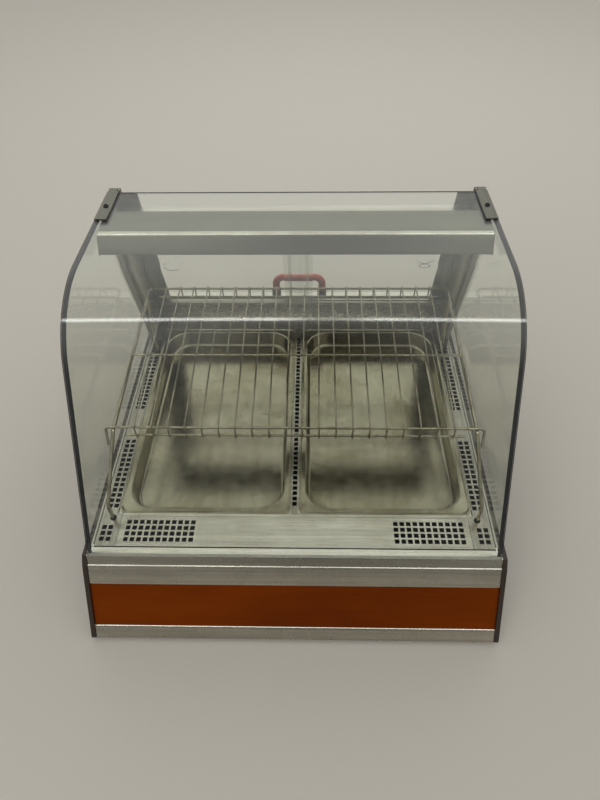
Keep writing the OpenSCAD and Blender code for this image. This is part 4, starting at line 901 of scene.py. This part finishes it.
class CaseHandle(bpy.types.Operator):
    """Rear grab handle: a bent bar between two turned bosses"""
    bl_idname = "display_case.handle"
    bl_label = "Rear Handle"

    def execute(self, context):
        s = sizes()
        low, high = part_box("rear_handle")
        boss_low, boss_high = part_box("handle_bosses")
        x, y, top = high.x - s.handle_rod / 2, (low.y + high.y) / 2, high.z - s.handle_rod / 2
        path = rounded(
            [[-x, y, low.z], [-x, y, top], [x, y, top], [x, y, low.z]], s.handle_bend, 12)
        grip = tube(path, s.handle_rod / 2, BACK, 24)
        piece("handle_grip", grip, "handle", "case", ["rear_handle"], sharp=60.0)
        r, h = boss_high.x - x, boss_high.z - boss_low.z
        edge = 2.4 * MM
        profile = [(r, 0), (r, h - edge), (r - 0.3 * edge, h - 0.3 * edge), (r - edge, h)]
        bosses = [lathe(profile, [k * x, y, boss_low.z], UP) for k in (-1, 1)]
        piece("handle_end_bosses", joined(bosses), "plastic", "case", ["handle_bosses"], sharp=40.0)
        return {"FINISHED"}


class CaseFasteners(bpy.types.Operator):
    """Domed socket screws on the hinge plates, with their pads, and pan-head screws on the back panel"""
    bl_idname = "display_case.fasteners"
    bl_label = "Screws"

    def execute(self, context):
        s = sizes()
        r = s.screw_radius
        low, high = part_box("plate_screws")
        pad_h = GLASS_HIGH.z - s.glass_thickness - low.z
        x, y = high.x - r, (low.y + high.y) / 2
        plate_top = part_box("hinge_plates")[1].z
        pad = [(r, 0), (r, 0.85 * pad_h), (0.92 * r, pad_h)]
        parts = []
        for k in (-x, x):
            dome = screw_head(r, high.z - plate_top)
            parts.append(lathe(dome, [k, y, plate_top], UP, 36, socket_sides))
            parts.append(lathe(pad, [k, y, low.z], UP))
        piece("plate_socket_screws", joined(parts), "plastic", "front_glass", ["plate_screws"], sharp=40.0)
        low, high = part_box("panel_screws")
        r, z = s.panel_screw_radius, (low.z + high.z) / 2
        screw_count = 4
        screws = [
            lathe(screw_head(r, high.y - BACK_PANEL), [k, BACK_PANEL, z], BACK, 36, socket_sides)
            for k in np.linspace(low.x + r, high.x - r, screw_count)]
        piece("panel_pan_screws", joined(screws), "fascia", "case", ["panel_screws"], sharp=40.0)
        return {"FINISHED"}


class CaseControls(bpy.types.Operator):
    """Fluted thermostat knob with its pointer and tick marks, and the domed pilot lens"""
    bl_idname = "display_case.controls"
    bl_label = "Controls"

    def execute(self, context):
        low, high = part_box("thermostat_knob")
        r, h = (high.x - low.x) / 2, high.y - low.y
        centre = np.array([(low.x + high.x) / 2, low.y, (low.z + high.z) / 2])
        rib = 1 * MM
        profile = np.array([
            (0.98, 0.0, 0), (1.0, 0.05, 0), (1.0, 0.17, 0), (0.96, 0.21, 0), (0.86, 0.23, 1),
            (0.84, 0.30, 1), (0.78, 0.86, 1), (0.74, 0.95, 1), (0.66, 0.99, 0),
            (0.05, 0.98, 0)]) * [r, h - rib, 1]
        knob = lathe(profile, centre, BACK, 144, knob_flutes)
        piece("fluted_knob", knob, "plastic", "thermostat_control", ["thermostat_knob"], sharp=40.0)
        face = high.y - rib
        bar = centre[::2] + upright_bar(0.9, 2, 13) * MM
        pointer = raised(bar, face - rib / 2, face + rib / 3)
        piece("knob_pointer", pointer, "mark", "thermostat_control")
        tick = upright_bar(0.5, 22, 26) * MM
        sunk, proud = -0.2 * MM, 0.1 * MM
        parts = []
        for w in np.radians(np.linspace(0, 270, 10)):
            turn = np.array([[math.cos(w), -math.sin(w)], [math.sin(w), math.cos(w)]])
            parts.append(raised(centre[::2] + tick @ turn, BACK_PANEL + sunk, BACK_PANEL + proud))
        piece("dial_ticks", joined(parts), "mark")
        low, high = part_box("pilot_lamp")
        centre = [(low.x + high.x) / 2, BACK_PANEL, (low.z + high.z) / 2]
        lens = np.array([
            (6, -20), (6, 0), (8, 0), (8, 1.4), (7.6, 2), (6.2, 2.1), (6, 3), (5.6, 4.2), (4.6, 5.2),
            (3, 5.8), (0.3, 6)]) * MM
        piece("pilot_lens", lathe(lens, centre, BACK), "amber", "case", ["pilot_lamp"], sharp=40.0)
        return {"FINISHED"}


class CaseStage(bpy.types.Operator):
    """Pale floor, soft light from above and the front, and the camera"""
    bl_idname = "display_case.stage"
    bl_label = "Stage"

    def execute(self, context):
        scene = context.scene
        scene.view_settings.view_transform = "Standard"
        half = 8.0  # metres, so that its edge lies near the horizon
        mesh = bpy.data.meshes.new("floor")
        mesh.from_pydata(
            [(-half, -half, 0), (half, -half, 0), (half, half, 0), (-half, half, 0)], [], [(0, 1, 2, 3)])
        mesh.materials.append(new_material("pale_floor", Base_Color=colours("floor"), Roughness=0.7)[0])
        floor = bpy.data.objects.new("floor", mesh)
        scene.collection.objects.link(floor)
        self.light_room(scene)
        for name, place, aim, size, power in (
                ("overhead", (0.2, 2.1, 2.6), (0.0, 1.9, 0.0), (3.2, 1.4), 32.0),
                ("front", (-1.6, -2.6, 2.4), (0.0, 0.0, 0.3), (1.6, 1.6), 22.0)):
            self.hang_lamp(scene, name, np.array(place), np.array(aim), size, power)
        self.place_camera(scene)
        return {"FINISHED"}

    @staticmethod
    def light_room(scene):
        """Soft room: the light grows smoothly from the horizon to the ceiling and to the back. A dark
        screen ahead of the case makes steel and glass reflect dark in the middle and pale at the sides,
        and a bright strip above it, dimmer in its middle, puts a light line on edges that look up and
        ahead. Each row names a value, what makes it and from what. EASE takes its first value smoothly
        from the fourth to the fifth between the limits of the second and the third."""
        scene.world = bpy.data.worlds.new("soft_room")
        scene.world.use_nodes = True
        tree = scene.world.node_tree
        tree.nodes.clear()
        direction = add(tree, "ShaderNodeTexCoord").outputs["Generated"]
        parts = add(tree, "ShaderNodeSeparateXYZ", {0: direction}).outputs
        values = dict(zip(("side", "back", "height"), parts))
        for name, kind, *sources in (
                ("lift", "EASE", "back", 0.0, 1.0, 0.0, 0.2),
                ("lifted", "ADD", "height", "lift"),
                ("level", "EASE", "lifted", 0.0, 0.95, 0.22, 1.0),
                ("shifted", "SUBTRACT", "side", 0.03),
                ("aside", "ABSOLUTE", "shifted"),
                ("loss", "EASE", "aside", 0.02, 0.28, -0.9, 0.0),
                ("ahead", "EASE", "back", -0.2, -0.7, 0.0, 1.0),
                ("screen", "MULTIPLY_ADD", "ahead", "loss", 1.0),
                ("past_strip", "ADD", "back", 0.33),
                ("off_strip", "ABSOLUTE", "past_strip"),
                ("strip", "EASE", "off_strip", 0.0, 0.05, 7.0, 0.0),
                ("high", "EASE", "height", 0.5, 0.9, 0.0, 1.0),
                ("ends", "EASE", "aside", 0.02, 0.1, 0.3, 1.0),
                ("above", "MULTIPLY", "high", "ends"),
                ("room", "MULTIPLY", "level", "screen"),
                ("strength", "MULTIPLY_ADD", "strip", "above", "room")):
            inputs = {i: values.get(source, source) for i, source in enumerate(sources)}
            if kind == "EASE":
                node = add(tree, "ShaderNodeMapRange", inputs, interpolation_type="SMOOTHSTEP")
            else:
                node = add(tree, "ShaderNodeMath", inputs, operation=kind)
            values[name] = node.outputs[0]
        sky = add(tree, "ShaderNodeBackground", {
            "Color": (0.95, 0.965, 0.94, 1.0), "Strength": values["strength"]})
        add(tree, "ShaderNodeOutputWorld", {"Surface": sky.outputs[0]})

    def hang_lamp(self, scene, name, place, aim, size, power):
        """A soft rectangular lamp that leaves no reflection of itself in the glass."""
        lamp = bpy.data.lights.new(name, "AREA")
        lamp.shape = "RECTANGLE"
        lamp.size, lamp.size_y = size
        lamp.energy = power
        thing = bpy.data.objects.new(name, lamp)
        thing.visible_glossy = False
        thing.visible_transmission = False
        back = (place - aim) / np.linalg.norm(place - aim)
        right = np.cross(BACK, back)
        right /= np.linalg.norm(right)
        thing.matrix_world = self.pose(right, np.cross(back, right), back, place)
        scene.collection.objects.link(thing)

    def place_camera(self, scene):
        """Camera that looks down on the case: pitch, turn and roll, the focal length in pixels of the
        picture's height, and the place. The rows of its turn are right, down and ahead."""
        pitch, turn, roll = np.radians([47.82, -1.80, -1.11])
        focal, picture_height = 572.6, 800
        place = (0.0328, -0.7786, 1.1060)
        level = np.array([[1.0, 0, 0], [0, 0, -1.0], [0, 1.0, 0]])
        turned = np.array([
            [math.cos(turn), -math.sin(turn), 0], [math.sin(turn), math.cos(turn), 0], [0, 0, 1.0]])
        pitched = np.array([
            [1.0, 0, 0], [0, math.cos(pitch), -math.sin(pitch)], [0, math.sin(pitch), math.cos(pitch)]])
        rolled = np.array([
            [math.cos(roll), -math.sin(roll), 0], [math.sin(roll), math.cos(roll), 0], [0, 0, 1.0]])
        right, down, ahead = rolled @ pitched @ level @ turned
        eye = bpy.data.cameras.new("photo_view")
        eye.sensor_width = 36.0
        eye.lens = focal / picture_height * eye.sensor_width
        eye.clip_start = 0.01
        viewer = bpy.data.objects.new("photo_view", eye)
        viewer.matrix_world = self.pose(right, -down, -ahead, place)
        scene.collection.objects.link(viewer)
        scene.camera = viewer

    @staticmethod
    def pose(right, up, back, place):
        """Matrix of an object whose X, Y and Z axes are right, up and back."""
        matrix = np.eye(4)
        matrix[:3, :3] = np.column_stack([right, up, back])
        matrix[:3, 3] = place
        return Matrix(matrix.tolist())


class CasePanel(bpy.types.Panel):
    """Lists the builders of the display case"""
    bl_idname = "VIEW3D_PT_display_case"
    bl_label = "Display Case"
    bl_space_type = "VIEW_3D"
    bl_region_type = "UI"
    bl_category = "Display Case"

    def draw(self, context):
        for builder in BUILDERS:
            self.layout.operator(builder.bl_idname)
        for group in (context.scene.display_case_sizes, context.scene.display_case_colours):
            for key in group.__annotations__:
                self.layout.prop(group, key)


BUILDERS = (
    CaseFinishes, CaseFascia, CaseGlass, CaseSeals, CasePans, CaseCanopy, CaseRack, CaseDoors,
    CaseHandle, CaseFasteners, CaseControls, CaseStage)
CLASSES = (DisplayCaseSizes, DisplayCaseColours, *BUILDERS, CasePanel)


def register():
    """Register the classes and the scene's settings."""
    for cls in CLASSES:
        bpy.utils.register_class(cls)
    bpy.types.Scene.display_case_sizes = bpy.props.PointerProperty(type=DisplayCaseSizes)
    bpy.types.Scene.display_case_colours = bpy.props.PointerProperty(type=DisplayCaseColours)


def unregister():
    """Take the settings and the classes out again."""
    del bpy.types.Scene.display_case_colours
    del bpy.types.Scene.display_case_sizes
    for cls in reversed(CLASSES):
        bpy.utils.unregister_class(cls)


def main():
    """Build every piece in order."""
    register()
    for builder in BUILDERS:
        group, name = builder.bl_idname.split(".")
        getattr(getattr(bpy.ops, group), name)()


if __name__ == "__main__":
    main()
